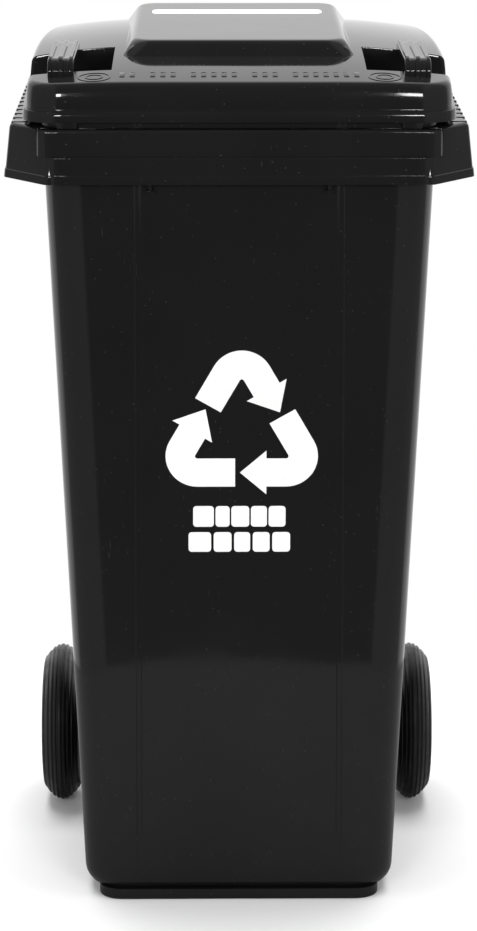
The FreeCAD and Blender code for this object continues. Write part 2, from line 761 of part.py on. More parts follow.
def make_latch_pin(side):
    tip, flange, stem = ("latch_%s_diameter / 2" % part for part in ("tip", "flange", "stem"))
    low = "axle_diameter / 2 - axle_groove_depth + latch_groove_gap"
    shoulder = "latch_flange_place + latch_flange_width"
    top = shoulder + " + latch_stem_length"
    corners = [("0", low), (tip + " - 0.5", low), (tip, low + " + 0.5"), (tip, "latch_flange_place"),
               (flange, "latch_flange_place"), (flange, shoulder), (stem, shoulder), (stem, top),
               ("0", top)]
    return stand_body(turned("latch_pin_" + side, corners, "XZ_Plane", "V_Axis"),
                      latch_x(side), AXLE_Y, AXLE_Z)


def make_latch_cap(side):
    radius = "latch_cap_diameter / 2"
    top = "latch_cap_place + latch_cap_width"
    corners = [("0", "latch_cap_place"), (radius, "latch_cap_place"), (radius, top + " - 0.6"),
               (radius + " - 0.6", top), ("0", top)]
    return stand_body(turned("latch_cap_" + side, corners, "XZ_Plane", "V_Axis"),
                      latch_x(side), AXLE_Y, AXLE_Z)


def make_latch_spring(side):
    low = "latch_flange_place + latch_flange_width + spring_wire / 2 + fit_gap"
    high = "latch_cap_place - spring_wire / 2 - fit_gap"
    coil = doc.addObject("Part::Helix", "spring_line_" + side)
    bind(coil, Radius="spring_radius", Height="(%s) - (%s)" % (high, low),
         Pitch="((%s) - (%s)) / spring_coils" % (high, low))
    wire = doc.addObject("Part::Circle", "spring_wire_" + side)
    wire.Placement = Placement(Vector(), Rotation(ACROSS, 90))
    bind(wire, Radius="spring_wire / 2", Placement__Base__x="spring_radius")
    spring = doc.addObject("Part::Sweep", "latch_spring_" + side)
    spring.Sections = [wire]
    spring.Spine = (coil, [])
    spring.Solid = True
    spring.Frenet = True
    return stand_body(spring, latch_x(side), AXLE_Y, "%s + %s" % (AXLE_Z, low))


# ---- build, check and write ----

parts = [make_bin_body(), make_lid(), make_axle()]
for side_name in SIDES:
    parts.append(make_hinge_pin(side_name))
    parts.append(make_wheel_rim(side_name))
    parts.append(make_tyre(side_name))
    parts.append(make_latch_pin(side_name))
    parts.append(make_latch_spring(side_name))
    parts.append(make_latch_cap(side_name))
doc.recompute()

for item in doc.Objects:
    if "Invalid" in item.State or "Error" in item.State:
        raise RuntimeError("%s did not build: %s" % (item.Name, item.State))
for part in parts:
    shape = part.Shape
    if shape.isNull() or not shape.isValid() or len(shape.Solids) != 1:
        raise RuntimeError("%s is not one valid solid" % part.Label)

os.makedirs("parts", exist_ok=True)
for part in parts:
    part.Shape.exportStep("parts/%s.step" % part.Label)
    bounds = part.Shape.BoundBox
    print("%-20s %9.1f cm3  x %7.1f %7.1f  y %7.1f %7.1f  z %7.1f %7.1f" % (
        part.Label, part.Shape.Volume / 1000, bounds.XMin, bounds.XMax, bounds.YMin, bounds.YMax,
        bounds.ZMin, bounds.ZMax))
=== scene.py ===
import math

import bmesh
import bpy
import numpy as np
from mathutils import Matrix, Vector


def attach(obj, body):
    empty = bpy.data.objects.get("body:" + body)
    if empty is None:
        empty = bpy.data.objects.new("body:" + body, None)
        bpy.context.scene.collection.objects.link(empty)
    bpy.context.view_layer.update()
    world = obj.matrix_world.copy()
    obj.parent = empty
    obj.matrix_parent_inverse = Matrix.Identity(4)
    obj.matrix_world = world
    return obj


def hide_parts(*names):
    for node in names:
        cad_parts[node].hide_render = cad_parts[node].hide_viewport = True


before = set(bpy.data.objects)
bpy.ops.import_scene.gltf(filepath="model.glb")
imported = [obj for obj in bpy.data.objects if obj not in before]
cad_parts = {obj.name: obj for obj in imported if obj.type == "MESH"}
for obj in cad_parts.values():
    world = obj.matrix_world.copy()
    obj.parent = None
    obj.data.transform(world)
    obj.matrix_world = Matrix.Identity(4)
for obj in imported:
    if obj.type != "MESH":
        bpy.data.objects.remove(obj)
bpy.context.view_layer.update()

millimetre = 0.001
print("frame loaded:", len(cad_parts), "nodes")


# every size below is in millimetres until a piece is made

# The rim and the lid are drawn on a level deck whose front edge is y = 0 and whose top is z = 0.
# The deck then turns up at the rear by its slope and moves to the top of the container.
deck = {"slope": 5.0, "height": 857.0, "band": 55.0, "depth": 550.0}
deckSlope = math.radians(deck["slope"])
deckFront = -deck["depth"] / 2 - deck["band"] * math.sin(deckSlope)


def onDeck(points):
    # y and z turned by the slope about X, then moved to the front edge of the deck
    points = np.asarray(points, float)
    x, y, z = points[..., 0], points[..., 1], points[..., 2]
    return np.stack([x, deckFront + y * math.cos(deckSlope) - z * math.sin(deckSlope),
                     deck["height"] + y * math.sin(deckSlope) + z * math.cos(deckSlope)], -1)


def surface(points, around=True, along=False):
    # quads between each point of a grid and its neighbours in the next column and the next row
    rows, columns = points.shape[:2]
    i, j = np.meshgrid(np.arange(rows - (not along)), np.arange(columns - (not around)),
                       indexing="ij")
    below, beside = (i + 1) % rows, (j + 1) % columns
    quads = np.stack([i * columns + j, i * columns + beside, below * columns + beside,
                      below * columns + j], -1)
    return points.reshape(-1, 3), quads.reshape(-1, 4)


def planLoop(half, front, back, radius, cut=0.0, frontX=30, sides=12, rear=16, corner=12):
    # a rectangle seen from above, anticlockwise from the left of its front edge; a corner is a
    # quarter circle, or a cut at 45 degrees whose two bends are arcs of the given radius
    if cut:
        angle = np.radians(np.concatenate([np.linspace(-90, -45, corner // 2),
                                           np.linspace(-45, 0, corner // 2)]))
        first = np.arange(corner) < corner // 2
        tangent = radius * math.tan(math.radians(22.5))
        acrossIn = np.where(first, cut + tangent, radius)
        alongIn = np.where(first, radius, cut + tangent)
    else:
        angle = np.radians(np.linspace(-90, 0, corner))
        acrossIn = alongIn = np.full(corner, radius)
    x = half - acrossIn + radius * np.cos(angle)
    y = alongIn + radius * np.sin(angle)
    if np.ndim(frontX) == 0:
        frontX = np.linspace(-x[0], x[0], frontX + 2)[1:-1]
    sideY = np.linspace(front + y[-1], back - y[-1], sides + 2)[1:-1]
    rearX = np.linspace(x[0], -x[0], rear + 2)[1:-1]
    return np.concatenate([
        np.stack([frontX, np.full(len(frontX), front)], -1),
        np.stack([x, front + y], -1),
        np.stack([np.full(sides, half), sideY], -1),
        np.stack([x, back - y], -1)[::-1],
        np.stack([rearX, np.full(rear, back)], -1),
        np.stack([-x, back - y], -1),
        np.stack([np.full(sides, -half), sideY[::-1]], -1),
        np.stack([-x, front + y], -1)[::-1]])


def atHeight(loop, z):
    # a flat outline given one level, or a level for each of its points
    return np.column_stack([loop, np.full(len(loop), z) if np.ndim(z) == 0 else z])


def shrunk(ring, share):
    # a ring drawn in towards the middle of its box
    middle = (ring.min(0) + ring.max(0)) / 2
    return middle + (ring - middle) * share


def slab(outline, low, high, edge, place):
    # an outline carried from low to high; each rim is drawn in along a quarter circle, and the
    # two ends are flat faces. place turns (across, up, out) arrays into points
    outline = np.asarray(outline, float)
    after, before = np.roll(outline, -1, 0), np.roll(outline, 1, 0)
    turn = np.sum(outline[:, 0] * after[:, 1] - after[:, 0] * outline[:, 1])
    step = (after - before) * np.sign(turn)
    normal = np.stack([step[:, 1], -step[:, 0]], -1)
    normal /= np.linalg.norm(normal, axis=1)[:, None]
    angle = np.radians([0, 30, 60, 90])
    inset = edge * (1 - np.sin(angle))
    rise = edge * (1 - np.cos(angle))
    insets = np.concatenate([inset, inset[::-1]])
    levels = np.concatenate([low + rise, high - rise[::-1]])
    rings = outline[None] - normal[None] * insets[:, None, None]
    points = place(rings[..., 0], rings[..., 1], np.broadcast_to(levels[:, None], rings.shape[:2]))
    flat, quads = surface(points)
    count = len(outline)
    ends = np.array([np.arange(count)[::-1], np.arange(count * (len(levels) - 1), count * len(levels))])
    return flat, quads, ends


def upright(x, y, z):
    # across, along and up, as they are
    return np.stack([x, y, z], -1)


def upOnDeck(x, y, z):
    # across, along and up on the level deck, then turned with it
    return onDeck(upright(x, y, z))


def sideways(y, z, x):
    # an outline seen from the side, carried along X
    return np.stack([x, y, z], -1)


def block(x, y, z, edge, place=upright):
    # a box with every edge rounded
    half, middle = (x[1] - x[0]) / 2, (x[0] + x[1]) / 2
    loop = planLoop(half, y[0], y[1], edge, frontX=0, sides=0, rear=0, corner=4)
    loop[:, 0] += middle
    return slab(loop, z[0], z[1], edge, place)


def mirrored(form):
    # x changes sign
    return (form[0] * np.array([-1, 1, 1]), *form[1:])


def bothSides(form):
    # a form and its mirror image
    return [form, mirrored(form)]


def turnedAboutX(profile, middle, steps=96):
    # (x, radius) points turned round a line through the middle, along X
    profile = np.asarray(profile, float)
    angle = np.linspace(0, 2 * np.pi, steps, endpoint=False)
    x = np.broadcast_to(profile[:, :1], (len(profile), steps))
    radius = profile[:, 1:]
    return surface(np.stack([x + middle[0], middle[1] + radius * np.cos(angle),
                             middle[2] + radius * np.sin(angle)], -1))


def makePiece(name, forms, body, material, sharpAngle=32, replaced=()):
    # the forms joined in one mesh in metres, with welded seams and smooth faces
    points, faces, count = [], [], 0
    for formPoints, *formFaces in forms:
        points.append(formPoints)
        for group in formFaces:
            faces += (group + count).tolist()
        count += len(formPoints)
    mesh = bpy.data.meshes.new(name)
    mesh.from_pydata((np.concatenate(points) * millimetre).tolist(), [], faces)
    shaped = bmesh.new()
    shaped.from_mesh(mesh)
    bmesh.ops.remove_doubles(shaped, verts=shaped.verts, dist=2e-6)
    bmesh.ops.recalc_face_normals(shaped, faces=shaped.faces)
    shaped.to_mesh(mesh)
    shaped.free()
    mesh.shade_smooth()
    mesh.set_sharp_from_angle(angle=math.radians(sharpAngle))
    mesh.materials.append(material)
    piece = bpy.data.objects.new(name, mesh)
    bpy.context.scene.collection.objects.link(piece)
    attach(piece, body)
    if replaced:
        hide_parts(*replaced)
    return piece


def linear(hexColour):
    # sRGB hex to linear light
    channels = np.array([int(hexColour[i:i + 2], 16) for i in (1, 3, 5)]) / 255
    values = np.where(channels <= 0.04045, channels / 12.92, ((channels + 0.055) / 1.055) ** 2.4)
    return (*values.tolist(), 1.0)


def addNode(tree, kind, settings=None, links=None, out=0):
    # one node with its settings and incoming links; gives back the output that comes next
    node = tree.nodes.new("ShaderNode" + kind)
    for key, value in (settings or {}).items():
        if isinstance(key, str) and hasattr(node, key):
            setattr(node, key, value)
        else:
            node.inputs[key].default_value = value
    for key, socket in (links or {}).items():
        tree.links.new(socket, node.inputs[key])
    return node.outputs[out] if node.outputs else node


def newMaterial(name, constants):
    # a material with these fixed values, its nodes and its object coordinates
    material = bpy.data.materials.new(name)
    material.use_nodes = True
    for key, value in constants.items():
        material.node_tree.nodes["Principled BSDF"].inputs[key].default_value = value
    place = addNode(material.node_tree, "TexCoord", out="Object")
    return material, material.node_tree, {"Vector": place}


def wired(material, patterns):
    # each pattern feeds the shader's input of that name
    tree = material.node_tree
    for key, socket in patterns.items():
        tree.links.new(socket, tree.nodes["Principled BSDF"].inputs[key])
    return material


def perMetre(size):
    # texture repeats in a metre for a feature of this size in millimetres
    return 1 / (size * millimetre)


smooth = {"interpolation_type": "SMOOTHSTEP"}                   # map range: from 1, 2 to 3, 4
blend = {"data_type": "RGBA"}                                   # colour mix: 6 and 7, output 2


def mouldedHdpe(name, roughness, scuff, wave):
    # High-density polyethylene, injection-moulded in a polished tool: near black and glossy, with
    # soft sink waves, hairline scratches, dull scuffed patches and specks of dust. IOR 1.54 and
    # roughness 0.15 to 0.3 are typical; the fine skin here mirrors a little less, as IOR 1.4.
    material, tree, at = newMaterial(name, {"IOR": 1.4})
    tint = addNode(tree, "TexNoise", {"Scale": perMetre(140), "Detail": 3}, at)
    dust = addNode(tree, "TexVoronoi", {"Scale": perMetre(9)}, at)
    # specks under 1 mm, 9 mm apart
    speck = addNode(tree, "MapRange", {**smooth, 1: 0.05, 2: 0.075, 3: 1, 4: 0}, {0: dust})
    stain = addNode(tree, "TexNoise", {"Scale": perMetre(55), "Detail": 5}, at)
    patches = addNode(tree, "MapRange", {**smooth, 1: 0.52, 2: 0.7}, {0: stain})
    # scratches 2 mm wide, drawn coarse so that they show
    drawn = addNode(tree, "Mapping", {"Scale": (14, 1, 1.6)}, at)
    hair = addNode(tree, "TexNoise", {"Scale": perMetre(26), "Detail": 2}, {"Vector": drawn})
    scratch = addNode(tree, "MapRange", {**smooth, 1: 0.7, 2: 0.73}, {0: hair})
    worn = addNode(tree, "Math", {"operation": "MULTIPLY"}, {0: patches, 1: scratch})
    black = addNode(tree, "Mix", {**blend, 6: linear("#141414"), 7: linear("#1b1b1c")},
                    {"Factor": tint}, 2)
    dusted = addNode(tree, "MapRange", {**smooth, 4: 0.35}, {0: speck})
    dusty = addNode(tree, "Mix", {**blend, 7: linear("#5a5a58")}, {"Factor": dusted, 6: black}, 2)
    scuffed = addNode(tree, "MapRange", {**smooth, 4: scuff}, {0: worn})
    colour = addNode(tree, "Mix", {**blend, 7: linear("#4c4c4c")}, {"Factor": scuffed, 6: dusty}, 2)
    uneven = addNode(tree, "TexNoise", {"Scale": perMetre(70), "Detail": 4}, at)
    gloss = addNode(tree, "MapRange",
                    {**smooth, 1: 0.3, 2: 0.7, 3: roughness * 0.75, 4: roughness * 1.3}, {0: uneven})
    rubbed = addNode(tree, "MapRange", {**smooth, 4: 0.12}, {0: worn})
    dull = addNode(tree, "MapRange", {**smooth, 4: 0.3}, {0: speck})
    rough = addNode(tree, "Math", {"operation": "ADD"}, {0: gloss, 1: rubbed})
    rough = addNode(tree, "Math", {"operation": "ADD"}, {0: rough, 1: dull})
    waves = addNode(tree, "TexNoise", {"Scale": perMetre(90), "Detail": 1}, at)
    grain = addNode(tree, "TexNoise", {"Scale": perMetre(2.2), "Detail": 2}, at)
    sink = addNode(tree, "Bump", {"Distance": wave * millimetre}, {"Height": waves})
    skin = addNode(tree, "Bump", {"Distance": 0.006 * millimetre}, {"Height": grain, "Normal": sink})
    relief = addNode(tree, "Bump", {"Distance": -0.03 * millimetre}, {"Height": worn, "Normal": skin})
    return wired(material, {"Base Color": colour, "Roughness": rough, "Normal": relief})


def satinPlastic(name, colours, roughness):
    # Polypropylene or nylon moulded in a spark-eroded tool: satin, with a grain of about half a
    # millimetre drawn at 1.2 mm so that it shows. IOR 1.49 to 1.53, roughness 0.4 to 0.5.
    material, tree, at = newMaterial(name, {"IOR": 1.5})
    tint = addNode(tree, "TexNoise", {"Scale": perMetre(40), "Detail": 3}, at)
    colour = addNode(tree, "Mix", {**blend, 6: linear(colours[0]), 7: linear(colours[1])},
                     {"Factor": tint}, 2)
    uneven = addNode(tree, "TexNoise", {"Scale": perMetre(25), "Detail": 4}, at)
    rough = addNode(tree, "MapRange",
                    {**smooth, 1: 0.3, 2: 0.7, 3: roughness - 0.07, 4: roughness + 0.08}, {0: uneven})
    grain = addNode(tree, "TexNoise", {"Scale": perMetre(1.2), "Detail": 2}, at)
    relief = addNode(tree, "Bump", {"Distance": 0.03 * millimetre}, {"Height": grain})
    return wired(material, {"Base Color": colour, "Roughness": rough, "Normal": relief})


def mouldedRubber(name):
    # Solid rubber pressed in a machined mould: black with a soft sheen, slightly grey where it
    # rubs, with the fine turning marks of the mould. IOR 1.52, roughness 0.4 to 0.6.
    material, tree, at = newMaterial(name, {"IOR": 1.52})
    rubbing = addNode(tree, "TexNoise", {"Scale": perMetre(22), "Detail": 6}, at)
    rub = addNode(tree, "MapRange", {**smooth, 1: 0.5, 2: 0.75, 4: 0.6}, {0: rubbing})
    colour = addNode(tree, "Mix", {**blend, 6: linear("#0d0d0d"), 7: linear("#1f1f1e")},
                     {"Factor": rub}, 2)
    uneven = addNode(tree, "TexNoise", {"Scale": perMetre(12), "Detail": 4}, at)
    rough = addNode(tree, "MapRange", {**smooth, 1: 0.3, 2: 0.7, 3: 0.3, 4: 0.48}, {0: uneven})
    drawn = addNode(tree, "Mapping", {"Scale": (6, 1, 1)}, at)
    marks = addNode(tree, "TexNoise", {"Scale": perMetre(3), "Detail": 2}, {"Vector": drawn})
    relief = addNode(tree, "Bump", {"Distance": 0.06 * millimetre}, {"Height": marks})
    return wired(material, {"Base Color": colour, "Roughness": rough, "Normal": relief})


def zincPlatedSteel(name):
    # Cold-drawn bar, bright zinc-plated: pale grey metal with fine draw lines along the bar and
    # faint dull clouds in the plating. Roughness 0.25 to 0.4.
    material, tree, at = newMaterial(name, {"Metallic": 1.0})
    clouds = addNode(tree, "TexNoise", {"Scale": perMetre(8), "Detail": 4}, at)
    colour = addNode(tree, "Mix", {**blend, 6: linear("#b4b4ae"), 7: linear("#d2d2cc")},
                     {"Factor": clouds}, 2)
    drawn = addNode(tree, "Mapping", {"Scale": (0.06, 1, 1)}, at)
    lines = addNode(tree, "TexNoise", {"Scale": perMetre(1), "Detail": 2}, {"Vector": drawn})
    gloss = addNode(tree, "MapRange", {**smooth, 1: 0.3, 2: 0.7, 3: 0.2, 4: 0.34}, {0: lines})
    cloudy = addNode(tree, "MapRange", {**smooth, 1: 0.5, 2: 0.8, 4: 0.12}, {0: clouds})
    rough = addNode(tree, "Math", {"operation": "ADD"}, {0: gloss, 1: cloudy})
    relief = addNode(tree, "Bump", {"Distance": 0.01 * millimetre}, {"Height": lines})
    return wired(material, {"Base Color": colour, "Roughness": rough, "Normal": relief})


def hotStampFoil(name):
    # White foil hot-stamped on polyethylene: even, slightly glossy, with a faint orange-peel of
    # about 3 mm and tiny missed spots. IOR 1.5, roughness 0.3 to 0.45.
    material, tree, at = newMaterial(name, {"IOR": 1.5})
    spots = addNode(tree, "TexVoronoi", {"Scale": perMetre(7)}, at)
    missed = addNode(tree, "MapRange", {**smooth, 1: 0.03, 2: 0.06, 3: 1, 4: 0}, {0: spots})
    colour = addNode(tree, "Mix", {**blend, 6: linear("#f4f4f3"), 7: linear("#8c8c8a")},
                     {"Factor": missed}, 2)
    uneven = addNode(tree, "TexNoise", {"Scale": perMetre(30), "Detail": 3}, at)
    rough = addNode(tree, "MapRange", {**smooth, 1: 0.3, 2: 0.7, 3: 0.32, 4: 0.44}, {0: uneven})
    peel = addNode(tree, "TexNoise", {"Scale": perMetre(3), "Detail": 2}, at)
    relief = addNode(tree, "Bump", {"Distance": 0.02 * millimetre}, {"Height": peel})
    return wired(material, {"Base Color": colour, "Roughness": rough, "Normal": relief})


containerHdpe = mouldedHdpe("containerHdpeMoulded", 0.075, 0.25, 0.35)
lidHdpe = mouldedHdpe("lidHdpeMoulded", 0.06, 0.2, 0.25)
wheelPlastic = satinPlastic("wheelPolypropyleneMoulded", ("#121212", "#1a1a1a"), 0.42)
pinPlastic = satinPlastic("pinNylonMoulded", ("#161616", "#202020"), 0.38)
tyreRubber = mouldedRubber("tyreRubberPressed")
platedSteel = zincPlatedSteel("barSteelZincPlated")
whiteFoil = hotStampFoil("printFoilHotStamped")
print("materials made")


# the container, its rim, handle and axle housing are one moulding

container = {"baseWidth": 340, "topWidth": 406, "baseFront": 92, "topFront": 15, "baseBack": 405,
             "topBack": 470, "corner": 40, "baseRound": 24, "lift": 7, "floor": 4, "wall": 3.2,
             "upstand": 7.6, "creaseBase": 110, "creaseTop": 104, "creaseReach": 5, "creaseDepth": 1.1,
             "creaseFrom": 27, "creaseFull": 60}
front = -deck["depth"] / 2


def containerSize(z):
    # half width, front and back grow evenly with height
    share = z / deck["height"]
    c = container
    return ((c["baseWidth"] + (c["topWidth"] - c["baseWidth"]) * share) / 2,
            front + c["baseFront"] + (c["topFront"] - c["baseFront"]) * share,
            front + c["baseBack"] + (c["topBack"] - c["baseBack"]) * share)


# places across one crease, as shares of its reach from its outer side to its inner side
creaseStops = np.array([0, 0.15, 0.19, 0.23, 0.27, 0.5, 0.73, 0.77, 0.81, 0.85, 1.0])
frontStops = np.concatenate([[0.35, 0.7], 1 + creaseStops,
                             2 + np.array([0.08, 0.2, 0.35, 0.5, 0.65, 0.8, 0.92]),
                             3 + creaseStops, [4.3, 4.65]])
stopPart = np.minimum(frontStops.astype(int), 4)


def frontPlaces(z):
    # x of each point of the front edge, which crowd together at the two creases
    half = containerSize(z)[0] - container["corner"]
    crease = container["creaseBase"] + (container["creaseTop"] - container["creaseBase"]) * z / deck["height"]
    reach = container["creaseReach"]
    knots = np.array([-half, -crease - reach, -crease + reach, crease - reach, crease + reach, half])
    return knots[stopPart] + (frontStops - stopPart) * (knots[stopPart + 1] - knots[stopPart])


def containerRing(z, inset):
    # the container's outline at a level, drawn in by inset
    half, near, far = containerSize(z)
    loop = planLoop(half - inset, near + inset, far - inset, container["corner"] - inset,
                    frontX=frontPlaces(z), sides=14, rear=20, corner=14)
    return atHeight(loop, z)


def wallRings(inset, shares, rise):
    # each wall line runs straight from the base ring to where it meets the sloping deck, or rise above it
    start = containerRing(container["lift"] + container["baseRound"], inset)
    line = containerRing(deck["height"] * 1.1, inset) - start
    slope = math.tan(deckSlope)
    lift = rise / math.cos(deckSlope)
    reach = ((deck["height"] + lift - start[:, 2] + (start[:, 1] - deckFront) * slope)
             / (line[:, 2] - line[:, 1] * slope))
    return start + np.asarray(shares)[:, None, None] * reach[None, :, None] * line


def creased(rings):
    # a shallow groove at each crease: full depth over its middle, none at its sides
    place = np.abs((frontStops - stopPart) - 0.5) * 2 * container["creaseReach"]
    onCrease = (stopPart == 1) | (stopPart == 3)
    groove = np.where(onCrease, np.clip((3.5 - place) / 1.2, 0, 1), 0)
    groove = groove * groove * (3 - 2 * groove)
    z = rings[:, :len(frontStops), 2]
    fade = np.clip((z - container["creaseFrom"]) / (container["creaseFull"] - container["creaseFrom"]), 0, 1)
    rings[:, :len(frontStops), 1] += groove * fade * container["creaseDepth"]
    return rings


def baseRings(radius, bottom, inset, outwards):
    # quarter circle between the floor and the wall, then in to the middle of the floor
    angle = np.radians(np.linspace(0, 90, 7))
    rings = [containerRing(bottom + radius * (1 - math.cos(a)), inset + radius * (1 - math.sin(a)))
             for a in angle]
    rings = [shrunk(rings[0], 0), shrunk(rings[0], 0.5)] + rings
    return rings if outwards else rings[::-1]


def makeContainer():
    # rings from the middle of the base up the outside, a half circle over the upper edge, and
    # down inside to the middle of the floor
    c = container
    outer = baseRings(c["baseRound"], c["lift"], 0, True)
    outer += list(creased(wallRings(0, [0.01, 0.03, 0.06, 0.12, 0.3, 0.5, 0.7, 0.85, 0.99], c["upstand"])))
    lip = []
    for angle in np.radians([0, 30, 60, 90, 120, 150, 180]):
        inset = c["wall"] / 2 * (1 - math.cos(angle))
        lip += list(wallRings(inset, [1.0], c["upstand"] - c["wall"] / 2 * (1 - math.sin(angle))))
    inner = list(wallRings(c["wall"], [0.98, 0.7, 0.4, 0.1, 0.02], c["upstand"]))
    inner += baseRings(c["baseRound"] - c["wall"], c["lift"] + c["floor"], c["wall"], False)
    return surface(np.array(outer + lip + inner))


foot = {"width": 310, "depth": 292, "corner": 26, "wall": 9, "edge": 1.6, "top": 12}


def makeFoot():
    # rings up the outside of the skirt, over its hidden top and down its inside
    near = front + container["baseFront"]
    rings = []
    e, w = foot["edge"], foot["wall"]
    for inset, z in ((e, 0), (e * 0.3, e * 0.3), (0, e), (0, foot["top"]), (w, foot["top"]), (w, e),
                     (w - e * 0.3, e * 0.3), (w - e, 0)):
        rings.append(atHeight(planLoop(foot["width"] / 2 - inset, near + inset,
                                       near + foot["depth"] - inset, foot["corner"] - inset), z))
    return surface(np.array(rings), along=True)


rim = {"half": 241.5, "length": 491, "flare": 6, "frontLean": 6.2, "rearLean": 5, "rearGap": 1, "cut": 44,
       "cutShrink": 0.6, "bend": 7, "edge": 4.5, "wall": 3, "behindBand": 1.6, "bead": 9, "beadProud": 0.9}


def rimRing(z, inset):
    # outline at a level: the sides lean in and the front leans back as it rises
    share = (z + deck["band"]) / deck["band"]
    r = rim
    loop = planLoop(r["half"] - r["flare"] * share - inset, r["behindBand"] + r["frontLean"] * share + inset,
                    r["length"] - r["rearGap"] - r["rearLean"] * share - inset, r["bend"],
                    cut=r["cut"] - inset * r["cutShrink"], frontX=len(frontStops), sides=14, rear=20,
                    corner=14)
    return onDeck(atHeight(loop, z))


def makeRim():
    # rings over the deck, round the outer edge along a quarter circle, down the wall to the bead
    # and up inside; each pair is a level and an inset
    r, low = rim, -deck["band"]
    underDeck = container["wall"] / 2
    rings = [wallRings(underDeck, [1.0], 0)[0]]
    for angle in np.radians([0, 22, 45, 67, 90]):
        rings.append(rimRing(-r["edge"] * (1 - math.cos(angle)), r["edge"] * (1 - math.sin(angle))))
    top = low + r["bead"]
    for z, inset in ((-15, 0), (-30, 0), (top + 0.4, 0), (top, -0.1), (top - 0.5, -r["beadProud"] * 0.9),
                     (top - 1.2, -r["beadProud"]), (low + 1, -r["beadProud"]),
                     (low + 0.25, -r["beadProud"] * 0.7), (low, 0), (low, r["wall"] * 0.7),
                     (low + 0.5, r["wall"]), (-25, r["wall"]), (-r["wall"], r["wall"])):
        rings.append(rimRing(z, inset))
    rings.append(wallRings(underDeck, [1.0], -r["wall"])[0])
    return surface(np.array(rings), along=True)


bands = {"upperWidth": 412, "lowerWidth": 394, "split": -27, "corner": 9, "back": 22, "edge": 2.4}


def frontBand(half, levels, edgeTop):
    # a bar along the front of the rim; levels are (z, front), and its top edge is rounded
    b = bands
    rings = [atHeight(planLoop(half - inset, near + inset, b["back"], b["corner"], corner=10), z)
             for z, near, inset in levels]
    top, near = levels[-1][0], levels[-1][1]
    for angle in np.radians([30, 60, 90]):
        inset = edgeTop * (1 - math.cos(angle))
        rings.append(atHeight(planLoop(half - inset, near + inset, b["back"], b["corner"], corner=10),
                              top + edgeTop * math.sin(angle)))
    rings = [shrunk(rings[0], 0)] + rings + [shrunk(rings[-1], 0)]
    return surface(onDeck(np.array(rings)))


def makeBands():
    # each bar is a list of rings: level, front and inset
    b, low = bands, -deck["band"]
    upper = frontBand(b["upperWidth"] / 2, [(b["split"], 4.6, 0.5), (b["split"] + 0.5, 4.2, 0),
                                            (-14, 5.6, 0), (-b["edge"] - 0.8, 6.85, 0), (-b["edge"], 6.95, 0)],
                      b["edge"])
    lower = frontBand(b["lowerWidth"] / 2, [(low, 0.6, 0.3), (low + 0.4, 0.3, 0), (low + 8, 0.6, 0),
                                            (low + 8.6, 1.2, 0), (low + 9.2, 1.5, 0),
                                            (low + 9.8, 1.55, 0), (b["split"] - 1.8, 2.65, 0),
                                            (b["split"] - 1.2, 2.7, 0)], 1.2)
    return [upper, lower]


ribs = {"wingCount": 16, "wingPitch": 25, "wingWidth": 4, "wingOut": 234.2, "wingLength": 17,
        "wingRise": 0.6, "wingEdge": 0.55, "sunk": 1.5, "combCount": 11, "combPitch": 30.4,
        "combWidth": 2.5, "combEdge": 0.5, "combY": (7, 17.5), "combTop": -2, "shortDrop": -3,
        "longRib": 3, "longDrop": 7, "footY": (6, 17.5), "footHalf": 3.6, "footHeight": 1.4,
        "headHalf": 2.6, "headHeight": 1.6, "webCount": 7, "webX": (198, 235), "webShare": 0.6, "edge": 0.6}


def makeRibs():
    # blocks at an even pitch: ridges on the wings, a comb behind the front band, webs under the wings
    forms = []
    g, low = ribs, -deck["band"]
    for index in range(g["wingCount"]):
        y = rim["cut"] + g["wingPitch"] * (index + 0.5)
        forms += bothSides(block((g["wingOut"] - g["wingLength"], g["wingOut"]), (y, y + g["wingWidth"]),
                                 (-g["sunk"], g["wingRise"]), g["wingEdge"], upOnDeck))
    for index in range(g["combCount"]):
        fromMiddle = index - g["combCount"] // 2
        x = fromMiddle * g["combPitch"]
        drop = g["longDrop"] if abs(fromMiddle) == g["longRib"] else g["shortDrop"]
        forms.append(block((x - g["combWidth"] / 2, x + g["combWidth"] / 2), g["combY"],
                           (low - drop, g["combTop"]), g["combEdge"], upOnDeck))
        if drop > 0:                                            # the two long ribs end in a small foot
            forms.append(block((x - g["footHalf"], x + g["footHalf"]), g["footY"],
                               (low - drop - g["footHeight"], low - drop), g["edge"], upOnDeck))
            forms.append(block((x - g["headHalf"], x + g["headHalf"]), g["footY"],
                               (low - g["headHeight"], low), g["edge"], upOnDeck))
    for index in range(g["webCount"]):
        y = rim["cut"] + g["combPitch"] * (1 + 2 * index)
        forms += bothSides(block(g["webX"], (y, y + g["combWidth"]), (low * g["webShare"], -g["sunk"]),
                                 g["edge"], upOnDeck))
    return forms


hinge = {"rise": 12, "lugRadius": 17, "lugInner": 150, "lugOuter": 190, "lugWidth": 8, "lugEdge": 1.6,
         "barRadius": 15, "gripHalf": 60, "gripStep": 2, "gripProud": 0.5, "collar": 6, "armInner": 160,
         "armOuter": 188, "eye": 15}
rimBack = deckFront + rim["length"] * math.cos(deckSlope)
hingeY = deck["depth"] / 2 - hinge["lugRadius"]
hingeZ = deck["height"] + rim["length"] * math.sin(deckSlope) + hinge["rise"]


def lugOutline():
    # the round end about the hinge, running back into the rear wall of the rim
    angle = np.radians(np.linspace(-95, 95, 30))
    end = np.stack([hingeY + hinge["lugRadius"] * np.cos(angle),
                    hingeZ + hinge["lugRadius"] * np.sin(angle)], -1)
    return np.concatenate([end, [[rimBack - 7, hingeZ - hinge["rise"] - 3],
                                 [rimBack - 7, hingeZ - hinge["rise"] - 44]]])


